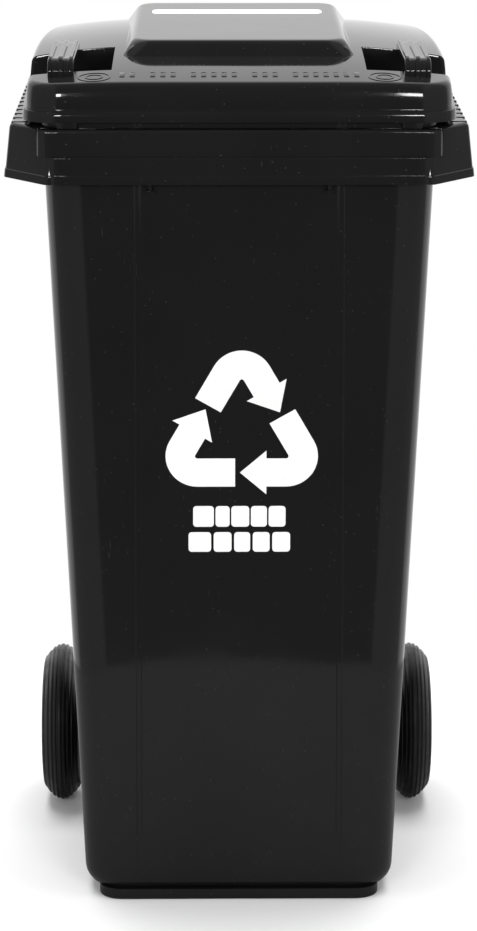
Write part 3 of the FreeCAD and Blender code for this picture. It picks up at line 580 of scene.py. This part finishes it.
def makeHandle():
    # the bar is half a profile, mirrored and turned about X; each lug is an outline carried along X
    h = hinge
    reach, radius = h["lugInner"] + 2, h["barRadius"]
    half = [(h["gripHalf"] - h["gripStep"], radius + h["gripProud"]), (h["gripHalf"], radius),
            (reach - h["collar"], radius), (reach, radius), (reach, 0)]
    forms = [turnedAboutX([(-x, size) for x, size in half[::-1]] + half, (0, hingeY, hingeZ), 48)]
    for start in (h["lugInner"], h["lugOuter"]):
        forms += bothSides(slab(lugOutline(), start, start + h["lugWidth"], h["lugEdge"], sideways))
    return forms


housing = {"half": 188, "y": (128, 191), "z": (75, 117), "wall": 4, "rib": 6, "bays": 6, "cheekBottom": 24,
           "edge": 1.2, "sunk": 0.3}


def makeHousing():
    # a top wall and a rear wall, with upright ribs at an even pitch; the two end ribs reach lower
    h = housing
    y, z = h["y"], h["z"]
    forms = [block((-h["half"], h["half"]), y, (z[1] - h["wall"], z[1]), h["edge"]),
             block((-h["half"], h["half"]), (y[1] - h["wall"], y[1]), z, h["edge"])]
    pitch = (2 * h["half"] - h["rib"]) / h["bays"]
    for index in range(h["bays"] + 1):
        x = -h["half"] + pitch * index
        low = h["cheekBottom"] if index in (0, h["bays"]) else z[0]
        forms.append(block((x, x + h["rib"]), y, (low, z[1] - h["sunk"]), h["edge"]))
    return forms


binForms = [makeContainer(), makeFoot(), makeRim()] + makeBands() + makeRibs() + makeHandle() + makeHousing()
binBody = makePiece("binBodyShell", binForms, "container", containerHdpe,
                    replaced=("bin_body",))
print("bin body made:", len(binBody.data.polygons), "faces")


# the lid is a crowned shell with two finger pockets
lid = {"lowHalf": 214.5, "front": 14, "back": 490, "gap": 7, "sideDraft": 0.0663, "endDraft": 0.1326,
       "corner": 30, "edge": 7, "wall": 2.8, "bulge": 0.5, "sideRise": 43, "frontRise": 36, "rearRise": 33,
       "bow": 8.5, "bowMiddle": 230, "bowHalf": 252, "crown": 60.5, "crownY": 255, "crownRadius": 1900,
       "fallFrom": 98, "fallReach": 112, "frontFall": 2.2, "rearFall": 7.3, "fallStart": 25,
       "fallLength": 140, "fallPower": 0.8, "lipHalf": 217.5, "lipFront": 9, "lipBack": 492, "lipTop": 18,
       "lipLean": 1}
pocket = {"inner": 132, "front": 72, "back": 182, "floor": 25, "slope": 1.0}


def crownHeight(x, y):
    # a parabola from front to back, less the square of the way out past fallFrom times a fall that
    # grows towards the rear
    lengthwise = lid["crown"] - (y - lid["crownY"]) ** 2 / (2 * lid["crownRadius"])
    outward = (np.clip(np.abs(x) - lid["fallFrom"], 0, None) / lid["fallReach"]) ** 2
    rearward = np.clip((y - lid["fallStart"]) / lid["fallLength"], 0, 1) ** lid["fallPower"]
    return lengthwise - outward * (lid["frontFall"] + lid["rearFall"] * rearward)


def bowed(y):
    # the long sides bow outwards along a parabola, most at the middle
    return lid["bow"] * np.clip(1 - ((y - lid["bowMiddle"]) / lid["bowHalf"]) ** 2, 0, 1)


def easedStep(distance, reach):
    # three times the square of the share of the way across, less twice its cube
    share = np.clip(distance / reach / 2 + 0.5, 0, 1)
    return share * share * (3 - 2 * share)


def lidTop(x, y, shift, drop):
    # the crown, let down to the pocket floor inside each pocket's three walls
    p = pocket
    inside = (easedStep(np.abs(x) - (p["inner"] - shift), p["slope"])
              * easedStep(y - (p["front"] - shift), p["slope"])
              * easedStep((p["back"] + shift) - y, p["slope"]))
    crown = crownHeight(x, y)
    return crown + (p["floor"] - crown) * inside - drop


wallStops = np.array([-6, -2, -1.05, -0.75, -0.4, 0, 0.4, 0.75, 1.05, 2, 6])


def lidCap(shift, drop, hollow):
    # a grid over the lid; each row is as wide as the rounded plan there, and rows and columns
    # crowd together at the pocket walls. Returns points and the grid's row directions
    corner = lid["corner"] - lid["edge"]
    halfMiddle = lid["lowHalf"] - lid["sideDraft"] * lid["sideRise"] - lid["edge"]
    near = lid["front"] + lid["endDraft"] * lid["frontRise"] + lid["edge"]
    far = lid["back"] - lid["endDraft"] * lid["rearRise"] - lid["edge"]
    angle = np.radians(np.linspace(0, 90, 9))
    pocketRows = np.concatenate([np.linspace(near + corner + 4, pocket["front"] - shift - 9, 4),
                                 pocket["front"] - shift + wallStops,
                                 np.linspace(pocket["front"] + 12, pocket["back"] - 12, 14),
                                 pocket["back"] + shift + wallStops,
                                 np.linspace(pocket["back"] + shift + 10, far - corner - 30, 18),
                                 np.linspace(far - corner - 24, far - corner - 4, 6)])
    rows = np.concatenate([near + corner * (1 - np.cos(angle)), pocketRows,
                           (far - corner * (1 - np.cos(angle)))[::-1]])
    widths = np.full(len(rows), halfMiddle)
    widths[:len(angle)] -= corner * (1 - np.sin(angle))
    widths[-len(angle):] -= (corner * (1 - np.sin(angle)))[::-1]
    halfColumns = np.concatenate([np.linspace(6, 96, 12), np.linspace(100, 118, 7),
                                  pocket["inner"] - shift + wallStops,
                                  np.linspace(pocket["inner"] + 12, halfMiddle, 14)])
    columns = np.concatenate([-halfColumns[::-1], [0], halfColumns])
    x = columns[None] * (widths / halfMiddle)[:, None]
    x = x + np.sign(columns) * bowed(rows)[:, None] * np.clip(np.abs(columns) / halfMiddle * 3 - 2, 0, 1)
    y = np.broadcast_to(rows[:, None], x.shape)
    height = lidTop(x, y, shift, drop)
    if hollow:
        height = height + domeHollow(x, y)
    straight = (np.arange(len(rows)) >= len(angle)) & (np.arange(len(rows)) < len(rows) - len(angle))
    turn = np.concatenate([angle, np.full(len(pocketRows), np.pi / 2), angle[::-1]])
    return np.stack([x, y, height], -1), turn, straight


def capEdge(cap, turn, straight):
    # the grid's boundary, anticlockwise: point, outward direction, and what is held fixed
    rows, columns = cap.shape[:2]
    side = np.arange(1, rows - 1)
    point = np.concatenate([cap[0], cap[side, -1], cap[-1, ::-1], cap[side[::-1], 0]])
    normalX = np.concatenate([np.zeros(columns), np.sin(turn[side]), np.zeros(columns),
                              -np.sin(turn[side[::-1]])])
    endSign = np.where(np.arange(rows) < rows / 2, -1, 1)
    normalY = np.concatenate([-np.ones(columns), endSign[side] * np.cos(turn[side]), np.ones(columns),
                              (endSign * np.cos(turn))[side[::-1]]])
    fixedX = np.concatenate([np.ones(columns, bool), np.zeros(len(side), bool),
                             np.ones(columns, bool), np.zeros(len(side), bool)])
    fixedY = np.concatenate([np.zeros(columns, bool), straight[side], np.zeros(columns, bool),
                             straight[side[::-1]]])
    return point, normalX, normalY, fixedX, fixedY


def edgeRing(edge, half, near, far, radius, z):
    # the boundary moved out to a rounded rectangle of these sizes, which may differ from point to point
    point, normalX, normalY, fixedX, fixedY = edge
    half = half + bowed(point[:, 1])
    x = np.where(fixedX, point[:, 0], np.sign(point[:, 0]) * (half - radius) + radius * normalX)
    y = np.where(fixedY, point[:, 1],
                 np.where(point[:, 1] < lid["crownY"], near + radius, far - radius) + radius * normalY)
    return np.stack([x, y, np.broadcast_to(z, x.shape)], -1)


def skirtRing(edge, z, inset):
    # the skirt's outline at level z, which its draft takes in evenly as it rises
    return edgeRing(edge, lid["lowHalf"] - lid["sideDraft"] * (z - lid["gap"]) - inset,
                    lid["front"] + lid["endDraft"] * (z - lid["gap"]) + inset,
                    lid["back"] - lid["endDraft"] * (z - lid["gap"]) - inset, lid["corner"] - inset, z)


def lipRing(edge, z, inset):
    # the lip's outline at level z, leaning in evenly up to its top
    lean = lid["lipLean"] * (z - lid["gap"]) / (lid["lipTop"] - lid["gap"]) + inset
    return edgeRing(edge, lid["lipHalf"] - lean, lid["lipFront"] + lean, lid["lipBack"] - lean,
                    lid["corner"] - inset, z)


dome = {"lowHalf": 126, "highHalf": 111, "front": 127, "back": 449, "lean": 12, "frontLean": 10, "foot": 50,
        "sunk": 6, "height": 72, "corner": 9, "cornerGrowth": 12, "leastCorner": 3, "edge": 5}


def domeHollow(x, y):
    # the room inside the raised panel: a slope of the panel's lean along all four sides
    d, w = dome, lid["wall"]
    inX = (d["lowHalf"] - w - np.abs(x)) / (d["lowHalf"] - d["highHalf"])
    inY = np.minimum((y - d["front"] - w) / d["frontLean"], (d["back"] - w - y) / d["lean"])
    share = np.clip(np.minimum(inX, inY), 0, 1)
    return share * (d["height"] - w - (crownHeight(x, y) - w))


def makeLidShell():
    # the top, then rings round its edge along a quarter circle, down the skirt and lip and up
    # inside to the underside; every ring has the points of the top's boundary, so they meet
    cap, turn, straight = lidCap(0, 0, False)
    edge = capEdge(cap, turn, straight)
    level = edge[0][:, 2]
    rings = [edge[0]]
    for angle in np.radians([15, 30, 45, 60, 75, 90]):
        z = level - lid["edge"] * (1 - math.cos(angle))
        rings.append(skirtRing(edge, z, lid["edge"] * (1 - math.sin(angle))))
    lipTop = lid["lipTop"]
    foot = level - lid["edge"]
    for share in (0.12, 0.25, 0.38, 0.5, 0.62, 0.75, 0.88, 0.97):
        bulge = -4 * lid["bulge"] * share * (1 - share)         # the skirt is slightly barrelled
        rings.append(skirtRing(edge, foot + (lipTop + 0.2 - foot) * share, bulge))
    rings.append(skirtRing(edge, lipTop + 0.05, -0.3))
    rings += [lipRing(edge, lipTop, 0.9), lipRing(edge, lipTop - 0.25, 0.3), lipRing(edge, lipTop - 0.9, 0),
              lipRing(edge, 12, 0), lipRing(edge, lid["gap"] + 0.9, 0), lipRing(edge, lid["gap"] + 0.25, 0.25),
              lipRing(edge, lid["gap"], 0.9)]
    under, turnIn, straightIn = lidCap(lid["wall"], lid["wall"], True)
    inner = capEdge(under, turnIn, straightIn)
    roof = inner[0][:, 2]
    rings.append(skirtRing(inner, lid["gap"], lid["wall"]))
    for share in (0.1, 0.5, 0.95):
        rings.append(skirtRing(inner, lid["gap"] + (roof - lid["gap"] - 4) * share, lid["wall"]))
    rings.append(skirtRing(inner, roof - 1.5, lid["wall"] + 1.5))
    rings.append(inner[0])
    return [surface(cap, around=False), surface(np.array(rings)), surface(under, around=False)]


def makeDome():
    # rings up the leaning sides, round the top edge along a parabola, then in to the middle
    d = dome
    rings = []

    def ring(share, z, inset):
        half = d["lowHalf"] + (d["highHalf"] - d["lowHalf"]) * share - inset
        return atHeight(planLoop(half, d["front"] + d["frontLean"] * share + inset,
                                 d["back"] - d["lean"] * share - inset,
                                 max(d["corner"] + d["cornerGrowth"] * share - inset, d["leastCorner"])), z)

    span = d["height"] - d["foot"]
    under = ring(0, d["foot"] - d["sunk"], 2)
    rings += [shrunk(under, 0), under]
    for share in (-0.1, 0.0, 0.3, 0.6):
        rings.append(ring(share, d["foot"] + span * share, 0))
    start = 1 - d["edge"] / span
    for t in np.linspace(0, 1, 8):
        share = start + (1 - start) * (2 * t - t * t)
        rings.append(ring(share, d["foot"] + span * share, d["edge"] * t * t))
    for inset in (14, 40, 75, 100):
        rings.append(ring(1, d["height"], inset))
    rings.append(shrunk(rings[-1], 0))
    return surface(onDeck(np.array(rings)))


grip = {"place": 182.5, "width": 27, "front": 60, "back": 187, "level": 58.7, "thick": 10.5, "footThick": 15,
        "bend": 7, "corner": 1.5, "ribWidth": 5, "ribPitch": 11, "proud": 2, "footEnd": 46, "rearEnd": 51.5}


def makeGrip():
    # a section carried along a path: up from the front ledge, back over the pocket and down behind it
    # round quarter circles; the section's own corners are quarter circles and its ribs eased steps
    g = grip
    bend, corner = g["bend"], g["corner"]
    turn = np.radians(np.linspace(0, 90, 9))
    climb = np.stack([np.full(4, g["front"]), np.linspace(g["footEnd"], g["level"] - bend - 1, 4)], -1)
    firstBend = np.stack([g["front"] + bend * (1 - np.cos(turn)), g["level"] - bend * (1 - np.sin(turn))], -1)
    level = np.stack([np.linspace(g["front"] + bend + 10, g["back"] - bend - 8, 12),
                      np.full(12, g["level"])], -1)
    lastBend = np.stack([g["back"] - bend * (1 - np.sin(turn)), g["level"] - bend * (1 - np.cos(turn))], -1)
    end = np.stack([np.full(2, g["back"]), [g["rearEnd"] + 0.1, g["rearEnd"]]], -1)
    path = np.concatenate([climb, firstBend, level, lastBend, end])
    step = np.gradient(path, axis=0)
    step /= np.linalg.norm(step, axis=1)[:, None]
    outward = np.stack([-step[:, 1], step[:, 0]], -1)           # away from the pocket
    thick = np.interp(np.arange(len(path)), [0, 4, 13, len(path)],
                      [g["footThick"], g["footThick"], g["thick"], g["thick"]])
    half = g["width"] / 2 - corner
    across = np.linspace(-half, half, 61)
    ribPlaces = g["ribPitch"] * np.array([[-1], [0], [1]])
    rise = easedStep(g["ribWidth"] / 2 - np.abs(across - ribPlaces), 0.8).sum(0)
    cornerTurn = np.radians(np.linspace(15, 90, 5))
    sideX, sideDrop = half + corner * np.sin(cornerTurn), corner * (1 - np.cos(cornerTurn))
    under = np.linspace(half, -half, 8)
    sectionX = np.concatenate([across, sideX, sideX[::-1], under, -sideX, -sideX[::-1]])
    sectionUp = np.concatenate([rise * g["proud"], -sideDrop, sideDrop[::-1], 0 * under, sideDrop,
                                -sideDrop[::-1]])
    side = np.repeat([1, -1, 1], [len(across) + len(sideX), 2 * len(sideX) + len(under), len(sideX)])
    offset = thick[:, None] / 2 * side + sectionUp
    yz = path[:, None] + outward[:, None] * offset[..., None]
    x = np.broadcast_to(sectionX + g["place"], offset.shape)[..., None]
    points = np.concatenate([x, yz], -1)
    points = np.concatenate([shrunk(points[0], 0)[None], points, shrunk(points[-1], 0)[None]])
    return surface(onDeck(points))


arms = {"edge": 2.2, "ribX": (172, 176), "ribTop": -6, "ribLow": -10, "ribEdge": 0.6, "stopX": (165, 185),
        "stopY": (11.2, 17.3), "stopZ": (0.35, 9), "stopEdge": 0.8}


def armOutline():
    # the round eye about the hinge, running forward to the rear of the lid
    angle = np.radians(np.linspace(-100, 90, 30))
    end = np.stack([hingeY + hinge["eye"] * np.cos(angle), hingeZ + hinge["eye"] * np.sin(angle)], -1)
    start = rimBack - hinge["rise"]
    return np.concatenate([end, [[start, hingeZ + hinge["eye"] - 1], [start, hingeZ - 6]]])


def makeArms():
    # each arm and its rib are outlines carried along X; the stop is a block
    a = arms
    arm = slab(armOutline(), hinge["armInner"], hinge["armOuter"], a["edge"], sideways)
    ribOutline = [(rimBack - 6, hingeZ + a["ribTop"]), (hingeY - 16, hingeZ + a["ribTop"]),
                  (hingeY - 12, hingeZ + a["ribLow"]), (rimBack - 6, hingeZ + a["ribLow"])]
    rib = slab(ribOutline, *a["ribX"], a["ribEdge"], sideways)
    stop = block(a["stopX"], a["stopY"], a["stopZ"], a["stopEdge"], upOnDeck)
    return bothSides(arm) + bothSides(rib) + bothSides(stop)


marks = {"count": 24, "spaces": (2, 6, 12, 16), "pitch": 10.4, "width": 5.4, "y": (42, 58), "corner": 1.0,
         "sunk": 1, "rise": 0.6, "edge": 0.4, "ringX": 148, "ringY": 44, "ringRadius": 17,
         "innerRing": 0.55, "ringWidth": 1.8}


def onLedge(x, y, level):
    # places at a level above the lid's own crown
    return onDeck(np.stack([x, y, crownHeight(x, y) + level], -1))


def makeMarks():
    # a row of plain raised dashes in word-like groups, and two pairs of plain rings
    forms = []
    m = marks
    for index in range(m["count"]):
        if index in m["spaces"]:
            continue
        loop = planLoop(m["width"] / 2, m["y"][0], m["y"][1], m["corner"], frontX=0, sides=3, rear=0, corner=3)
        loop[:, 0] += (index - (m["count"] - 1) / 2) * m["pitch"]
        forms.append(slab(loop, -m["sunk"], m["rise"], m["edge"], onLedge))
    angle = np.linspace(0, 2 * np.pi, 56, endpoint=False)
    profile = np.array([(0, -m["sunk"]), (0, m["rise"] * 0.7), (m["edge"], m["rise"]),
                        (m["ringWidth"] - m["edge"], m["rise"]), (m["ringWidth"], m["rise"] * 0.7),
                        (m["ringWidth"], -m["sunk"])])
    for sign in (-1, 1):
        for radius in (m["ringRadius"], m["ringRadius"] * m["innerRing"]):
            reach = radius - profile[:, :1]
            x, y = sign * m["ringX"] + reach * np.cos(angle), m["ringY"] + reach * np.sin(angle)
            forms.append(surface(onLedge(x, y, profile[:, 1:]), along=True))
    return forms


def onDeckForm(form):
    # a form turned with the deck
    return (onDeck(form[0]), *form[1:])


oneGrip = makeGrip()
lidForms = [onDeckForm(form) for form in makeLidShell()]
lidForms += [makeDome()] + bothSides(oneGrip) + makeArms() + makeMarks()
lidPiece = makePiece("lidShell", lidForms, "lid", lidHdpe, replaced=("lid",))
print("lid made:", len(lidPiece.data.polygons), "faces")


wheel = {"middle": 212.5, "y": 172, "z": 95, "radius": 95, "seat": 72, "ringWall": 8, "latch": 205.5,
         "crown": 0.038, "treadHalf": 17.5, "groove": 1.3, "grooveHalf": 1.1,
         "grooves": (-13, -8, -3, 3, 8, 13), "spokes": 6, "spokeWidth": 4, "faceWidth": 5.2, "bore": 10.1,
         "boss": ((0, 12), (8, 12), (8, 49.2), (7.4, 50), (5.1, 50), (5.1, 44), (0, 44))}


def tyreProfile():
    # a crowned tread with round-bottomed grooves, stepped shoulders, bulging walls and a bead line
    w = wheel
    across = np.linspace(-w["treadHalf"], w["treadHalf"], 141)
    radius = w["radius"] - w["crown"] * across ** 2
    for middle in w["grooves"]:
        radius -= w["groove"] * easedStep(w["grooveHalf"] - np.abs(across - middle), 0.7)
    wall = [(18, 82.4), (18.3, 81.2), (19.6, 80.6), (20.6, 79.4), (21.3, 78), (21.8, 76.6), (22, 75.4),
            (21.6, 74.6), (21.7, 74), (21.2, 73.2), (20.2, 72.5), (19.2, 72.2)]
    right = np.array(wall)
    left = right[::-1] * [-1, 1]
    inside = np.array([(15, w["seat"]), (-15, w["seat"])])
    return np.concatenate([left, np.stack([across, radius], -1), right, inside])


def wheelForm(profile, sign, steps, along=False):
    # a profile turned about the wheel's own axis, mirrored for the left and moved to its place
    grid = turnedAboutX(profile, (0, 0, 0), steps)[0].reshape(len(profile), steps, 3)
    grid = grid * np.array([sign, 1, 1]) + np.array([sign * wheel["middle"], wheel["y"], wheel["z"]])
    return surface(grid, along=along)


def centreProfile():
    # hub, dished web and the ring under the tyre, outside face first
    w = wheel
    inner = w["seat"] - w["ringWall"]
    return [(18.3, 0), (20.2, 0), (20.6, 1.5), (20.4, 15), (19.2, 18.5), (16.5, 20.5), (9.6, 22), (8.6, 24),
            (8.2, 30), (8.2, 52), (8.8, 57), (10.5, 60), (14.4, inner - 0.6), (18.4, inner + 0.3),
            (19, inner + 1.2), (19, w["seat"] - 0.6), (18.6, w["seat"]), (-18.6, w["seat"]),
            (-19, w["seat"] - 0.6), (-19, inner + 1.2), (-18.4, inner + 0.3), (-4, inner - 1), (0, 61),
            (3, 58), (4.2, 52), (4.2, 26), (3, 22.6), (-20.5, 21), (-21.9, 20.4), (-22.5, 19.4),
            (-22.5, w["bore"] + 0.8), (-21.9, w["bore"]), (18.3, w["bore"])]


def spokeForms(sign):
    # six ribs on each side of the web, each a thin slab from the hub to the ring
    w = wheel
    forms = []
    rear = [(-13, 19), (6, 19), (6, 65), (-15, 65.5), (-15, 60), (-13, 52)]
    face = [(6, 19), (16.4, 19), (12.4, 30), (11.4, 50), (14.4, 65), (6, 65)]
    for index in range(w["spokes"]):
        turn = 2 * math.pi * index / w["spokes"]
        for outline, half in ((rear, w["spokeWidth"] / 2), (face, w["faceWidth"] / 2)):
            def place(x, radius, out, turn=turn):
                y = radius * math.cos(turn) - out * math.sin(turn)
                z = radius * math.sin(turn) + out * math.cos(turn)
                return np.stack([sign * (x + w["middle"]), y + w["y"], z + w["z"]], -1)
            forms.append(slab(outline, -half, half, 0.8, place))
    return forms


def bossForm(sign):
    # the short tube that guides the latch: radius and height pairs turned about its upright axis
    w = wheel
    angle = np.linspace(0, 2 * np.pi, 32, endpoint=False)
    radius, height = np.array(w["boss"]).T[..., None]
    x = sign * w["latch"] + radius * np.cos(angle)
    y = w["y"] + radius * np.sin(angle)
    return surface(np.stack([x, y, np.broadcast_to(w["z"] + height, x.shape)], -1))


for side, sign in (("left", -1), ("right", 1)):
    makePiece("tyre" + side.title(), [wheelForm(tyreProfile(), sign, 120, along=True)], "wheel_" + side,
              tyreRubber, replaced=("tyre_" + side,))
    centreForms = [wheelForm(centreProfile(), sign, 96), bossForm(sign)] + spokeForms(sign)
    makePiece("wheelCentre" + side.title(), centreForms, "wheel_" + side, wheelPlastic,
              replaced=("wheel_rim_" + side,))
print("wheels made")

# the plain turned parts keep their own shape and take a finish
finishes = {"axle": platedSteel}
for side in ("left", "right"):
    finishes.update({"hinge_pin_" + side: pinPlastic, "latch_cap_" + side: pinPlastic,
                     "latch_pin_" + side: platedSteel, "latch_spring_" + side: platedSteel})
for node, material in finishes.items():
    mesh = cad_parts[node].data
    mesh.materials.clear()
    mesh.materials.append(material)


# the white print is a thin foil that follows the wall
prints = {"centreX": 2.5, "centreZ": 539, "inradius": 45, "band": 31, "bend": 18, "headHalf": 24,
          "headLength": 28, "startGap": 7, "tipPast": 2, "thick": 0.25, "sunk": 0.1, "edge": 0.05,
          "barCorner": 3.5, "barTop": (434, 457), "topReach": 49, "topWidths": (22, 15, 19, 17, 18),
          "barLow": (406, 428), "lowReach": 54, "lowWidths": (24, 19, 17, 18, 19)}
domeBar = {"half": 95, "front": 342, "back": 374, "corner": 8, "thick": 0.2}


def onFront(x, z, out):
    # places on the sloping front wall, standing out by the foil's thickness
    return np.stack([x, containerSize(z)[1] - out, z], -1)


def arrowOutline(turn):
    # a band carried up one side of a triangle, round its corner and down the next, with a head
    p = prints
    sideHalf = p["inradius"] * math.sqrt(3)
    tangent = p["bend"] * math.tan(math.radians(60))
    corner = 2 * p["inradius"]
    upDirection = np.array([0.5, math.sqrt(3) / 2])
    arcStart = np.array([0, corner]) - upDirection * tangent
    start = np.array([0, corner]) - upDirection * (sideHalf - p["startGap"])
    angle = np.radians(np.linspace(150, 30, 17))
    arcMiddle = np.array([0, corner - 2 * p["bend"]])
    arc = arcMiddle + p["bend"] * np.stack([np.cos(angle), np.sin(angle)], -1)
    downDirection = np.array([0.5, -math.sqrt(3) / 2])
    headBase = np.array([0, corner]) + downDirection * (sideHalf + p["tipPast"] - p["headLength"])
    path = np.concatenate([[start, (start + arcStart) / 2], arc, [(arc[-1] + headBase) / 2, headBase]])
    step = np.gradient(path, axis=0)
    step /= np.linalg.norm(step, axis=1)[:, None]
    normal = np.stack([-step[:, 1], step[:, 0]], -1)
    outer, inner = path + normal * p["band"] / 2, path - normal * p["band"] / 2
    headNormal = np.array([-downDirection[1], downDirection[0]])
    head = np.array([headBase + headNormal * p["headHalf"], headBase + downDirection * p["headLength"],
                     headBase - headNormal * p["headHalf"]])
    outline = np.concatenate([outer, head, inner[::-1]])
    rotation = np.array([[math.cos(turn), -math.sin(turn)], [math.sin(turn), math.cos(turn)]])
    return outline @ rotation.T + [p["centreX"], p["centreZ"]]


def foil(outline):
    # an outline standing out of the front wall by the foil's thickness
    return slab(outline, -prints["sunk"], prints["thick"], prints["edge"], onFront)


def barRow(levels, reach, widths):
    # rounded blocks side by side
    gap = (2 * reach - sum(widths)) / (len(widths) - 1)
    forms, x = [], -reach
    for width in widths:
        loop = planLoop(width / 2, levels[0], levels[1], prints["barCorner"], frontX=2, sides=3, rear=2,
                        corner=6)
        loop[:, 0] += x + width / 2
        forms.append(foil(loop))
        x += width + gap
    return forms


for index in range(3):
    makePiece("printArrow%d" % (index + 1), [foil(arrowOutline(-2 * math.pi * index / 3))],
              "container", whiteFoil)
blockForms = barRow(prints["barTop"], prints["topReach"], prints["topWidths"])
blockForms += barRow(prints["barLow"], prints["lowReach"], prints["lowWidths"])
makePiece("printBlocks", blockForms, "container", whiteFoil)
domeLoop = planLoop(domeBar["half"], domeBar["front"], domeBar["back"], domeBar["corner"], frontX=6, sides=3,
                    rear=6, corner=8)
makePiece("printDomeBar", [slab(domeLoop, dome["height"] - prints["sunk"], dome["height"] + domeBar["thick"],
                                prints["edge"], upOnDeck)], "lid", whiteFoil)
print("prints made")


# the studio, in metres: a pale floor, soft light from above and behind, dark in front
studio = {"floorRadius": 0.8, "floorY": 0.02, "sky": 1.0, "frontSky": 0.07, "sideSky": 0.34, "topPower": 130,
          "topSize": (2.4, 2.4), "topPlace": (0, 0.2, 3.1), "fillPower": 26, "fillSize": (0.8, 0.6),
          "lampPower": 4.7, "lampSize": (0.28, 0.12), "lampX": 0.48, "lampY": -2.75, "lampZ": 1.2,
          "aim": (0, -0.25, 0.75)}


def makeFloor(name, low, high, level):
    # a round board, its rows at growing radii
    angle = np.linspace(0, 2 * np.pi, 96, endpoint=False)
    radii = np.linspace(0, studio["floorRadius"], 12)[:, None]
    x, y = radii * np.cos(angle), radii * np.sin(angle) + studio["floorY"]
    flat, quads = surface(np.stack([x, y, np.full(x.shape, level)], -1))
    mesh = bpy.data.meshes.new(name)
    mesh.from_pydata(flat.tolist(), [], quads.tolist())
    floor = bpy.data.objects.new(name, mesh)
    bpy.context.scene.collection.objects.link(floor)
    material, tree, at = newMaterial(name + "Paper", {"Roughness": 0.6, "IOR": 1.4})
    cloud = addNode(tree, "TexNoise", {"Scale": perMetre(300), "Detail": 3}, at)
    paper = addNode(tree, "Mix", {**blend, 6: linear(low), 7: linear(high)}, {"Factor": cloud}, 2)
    mesh.materials.append(wired(material, {"Base Color": paper}))
    return floor


def makeSky():
    # seen directly it is plain white; as light it is bright behind the bin, dim at
    # both sides and dark in front
    world = bpy.data.worlds.new("studioSky")
    bpy.context.scene.world = world
    world.use_nodes = True
    tree = world.node_tree
    tree.nodes.clear()
    white = {"Color": (1, 1, 1, 1)}
    direction = addNode(tree, "TexCoord", out="Generated")
    parts = addNode(tree, "SeparateXYZ", links={0: direction}).node.outputs
    apart = addNode(tree, "Math", {"operation": "ABSOLUTE"}, {0: parts["X"]})
    aside = addNode(tree, "MapRange",
                    {**smooth, 1: 0.1, 2: 0.26, 3: studio["frontSky"], 4: studio["sideSky"]}, {0: apart})
    behind = addNode(tree, "MapRange", {**smooth, 1: 0.1, 2: 0.5, 4: studio["sky"]}, {0: parts["Y"]})
    strength = addNode(tree, "Math", {"operation": "MAXIMUM"}, {0: behind, 1: aside})
    lit = addNode(tree, "Background", white, {"Strength": strength})
    plain = addNode(tree, "Background", {**white, "Strength": 1.0})
    seen = addNode(tree, "LightPath", out="Is Camera Ray")
    whole = addNode(tree, "MixShader", links={0: seen, 1: lit, 2: plain})
    addNode(tree, "OutputWorld", links={"Surface": whole})


def makeLight(name, place, target, size, power):
    # a rectangular lamp turned to face its target
    light = bpy.data.lights.new(name, "AREA")
    light.shape, light.energy = "RECTANGLE", power
    light.size, light.size_y = size
    lamp = bpy.data.objects.new(name, light)
    lamp.location = place
    lamp.rotation_mode = "QUATERNION"
    lamp.rotation_quaternion = (Vector(target) - Vector(place)).to_track_quat("-Z", "Y")
    bpy.context.scene.collection.objects.link(lamp)
    return lamp


floor = makeFloor("studioFloor", "#f6f6f6", "#fafafa", -0.0002)
floor.visible_glossy = False
# what the glossy fronts mirror is a greyer board in the same place
glossyFloor = makeFloor("studioFloorMirrored", "#808080", "#888888", 0.0003)
glossyFloor.visible_camera = glossyFloor.visible_diffuse = glossyFloor.visible_shadow = False
makeSky()
softbox = makeLight("topSoftbox", studio["topPlace"], (0, 0, 0), studio["topSize"], studio["topPower"])
softbox.visible_glossy = False
for name, sign in (("Left", -1), ("Right", 1)):
    x, y, z = sign * studio["lampX"], studio["lampY"], studio["lampZ"]
    makeLight("frontLamp" + name, (x, y, z), studio["aim"], studio["lampSize"], studio["lampPower"])
    fill = makeLight("frontFill" + name, (2 * x, y, z), studio["aim"], studio["fillSize"], studio["fillPower"])
    fill.visible_glossy = False

# the camera stands a little to the left, looks down by its pitch and has a long lens
view = {"x": -0.026, "y": -3.0279, "z": 1.1054, "pitch": 12.23, "lens": 105.1, "sensor": 36,
        "lift": 0.003222, "across": -0.001396}
cameraData = bpy.data.cameras.new("camera")
cameraData.lens, cameraData.sensor_width = view["lens"], view["sensor"]
cameraData.shift_x, cameraData.shift_y = view["across"], view["lift"]
camera = bpy.data.objects.new("camera", cameraData)
camera.location = (view["x"], view["y"], view["z"])
yaw = math.atan(-view["x"] / (front * millimetre - view["y"]))
camera.rotation_euler = (math.radians(90 - view["pitch"]), 0, -yaw)
bpy.context.scene.collection.objects.link(camera)
bpy.context.scene.camera = camera
bpy.context.scene.view_settings.view_transform = "Standard"
print("studio made")
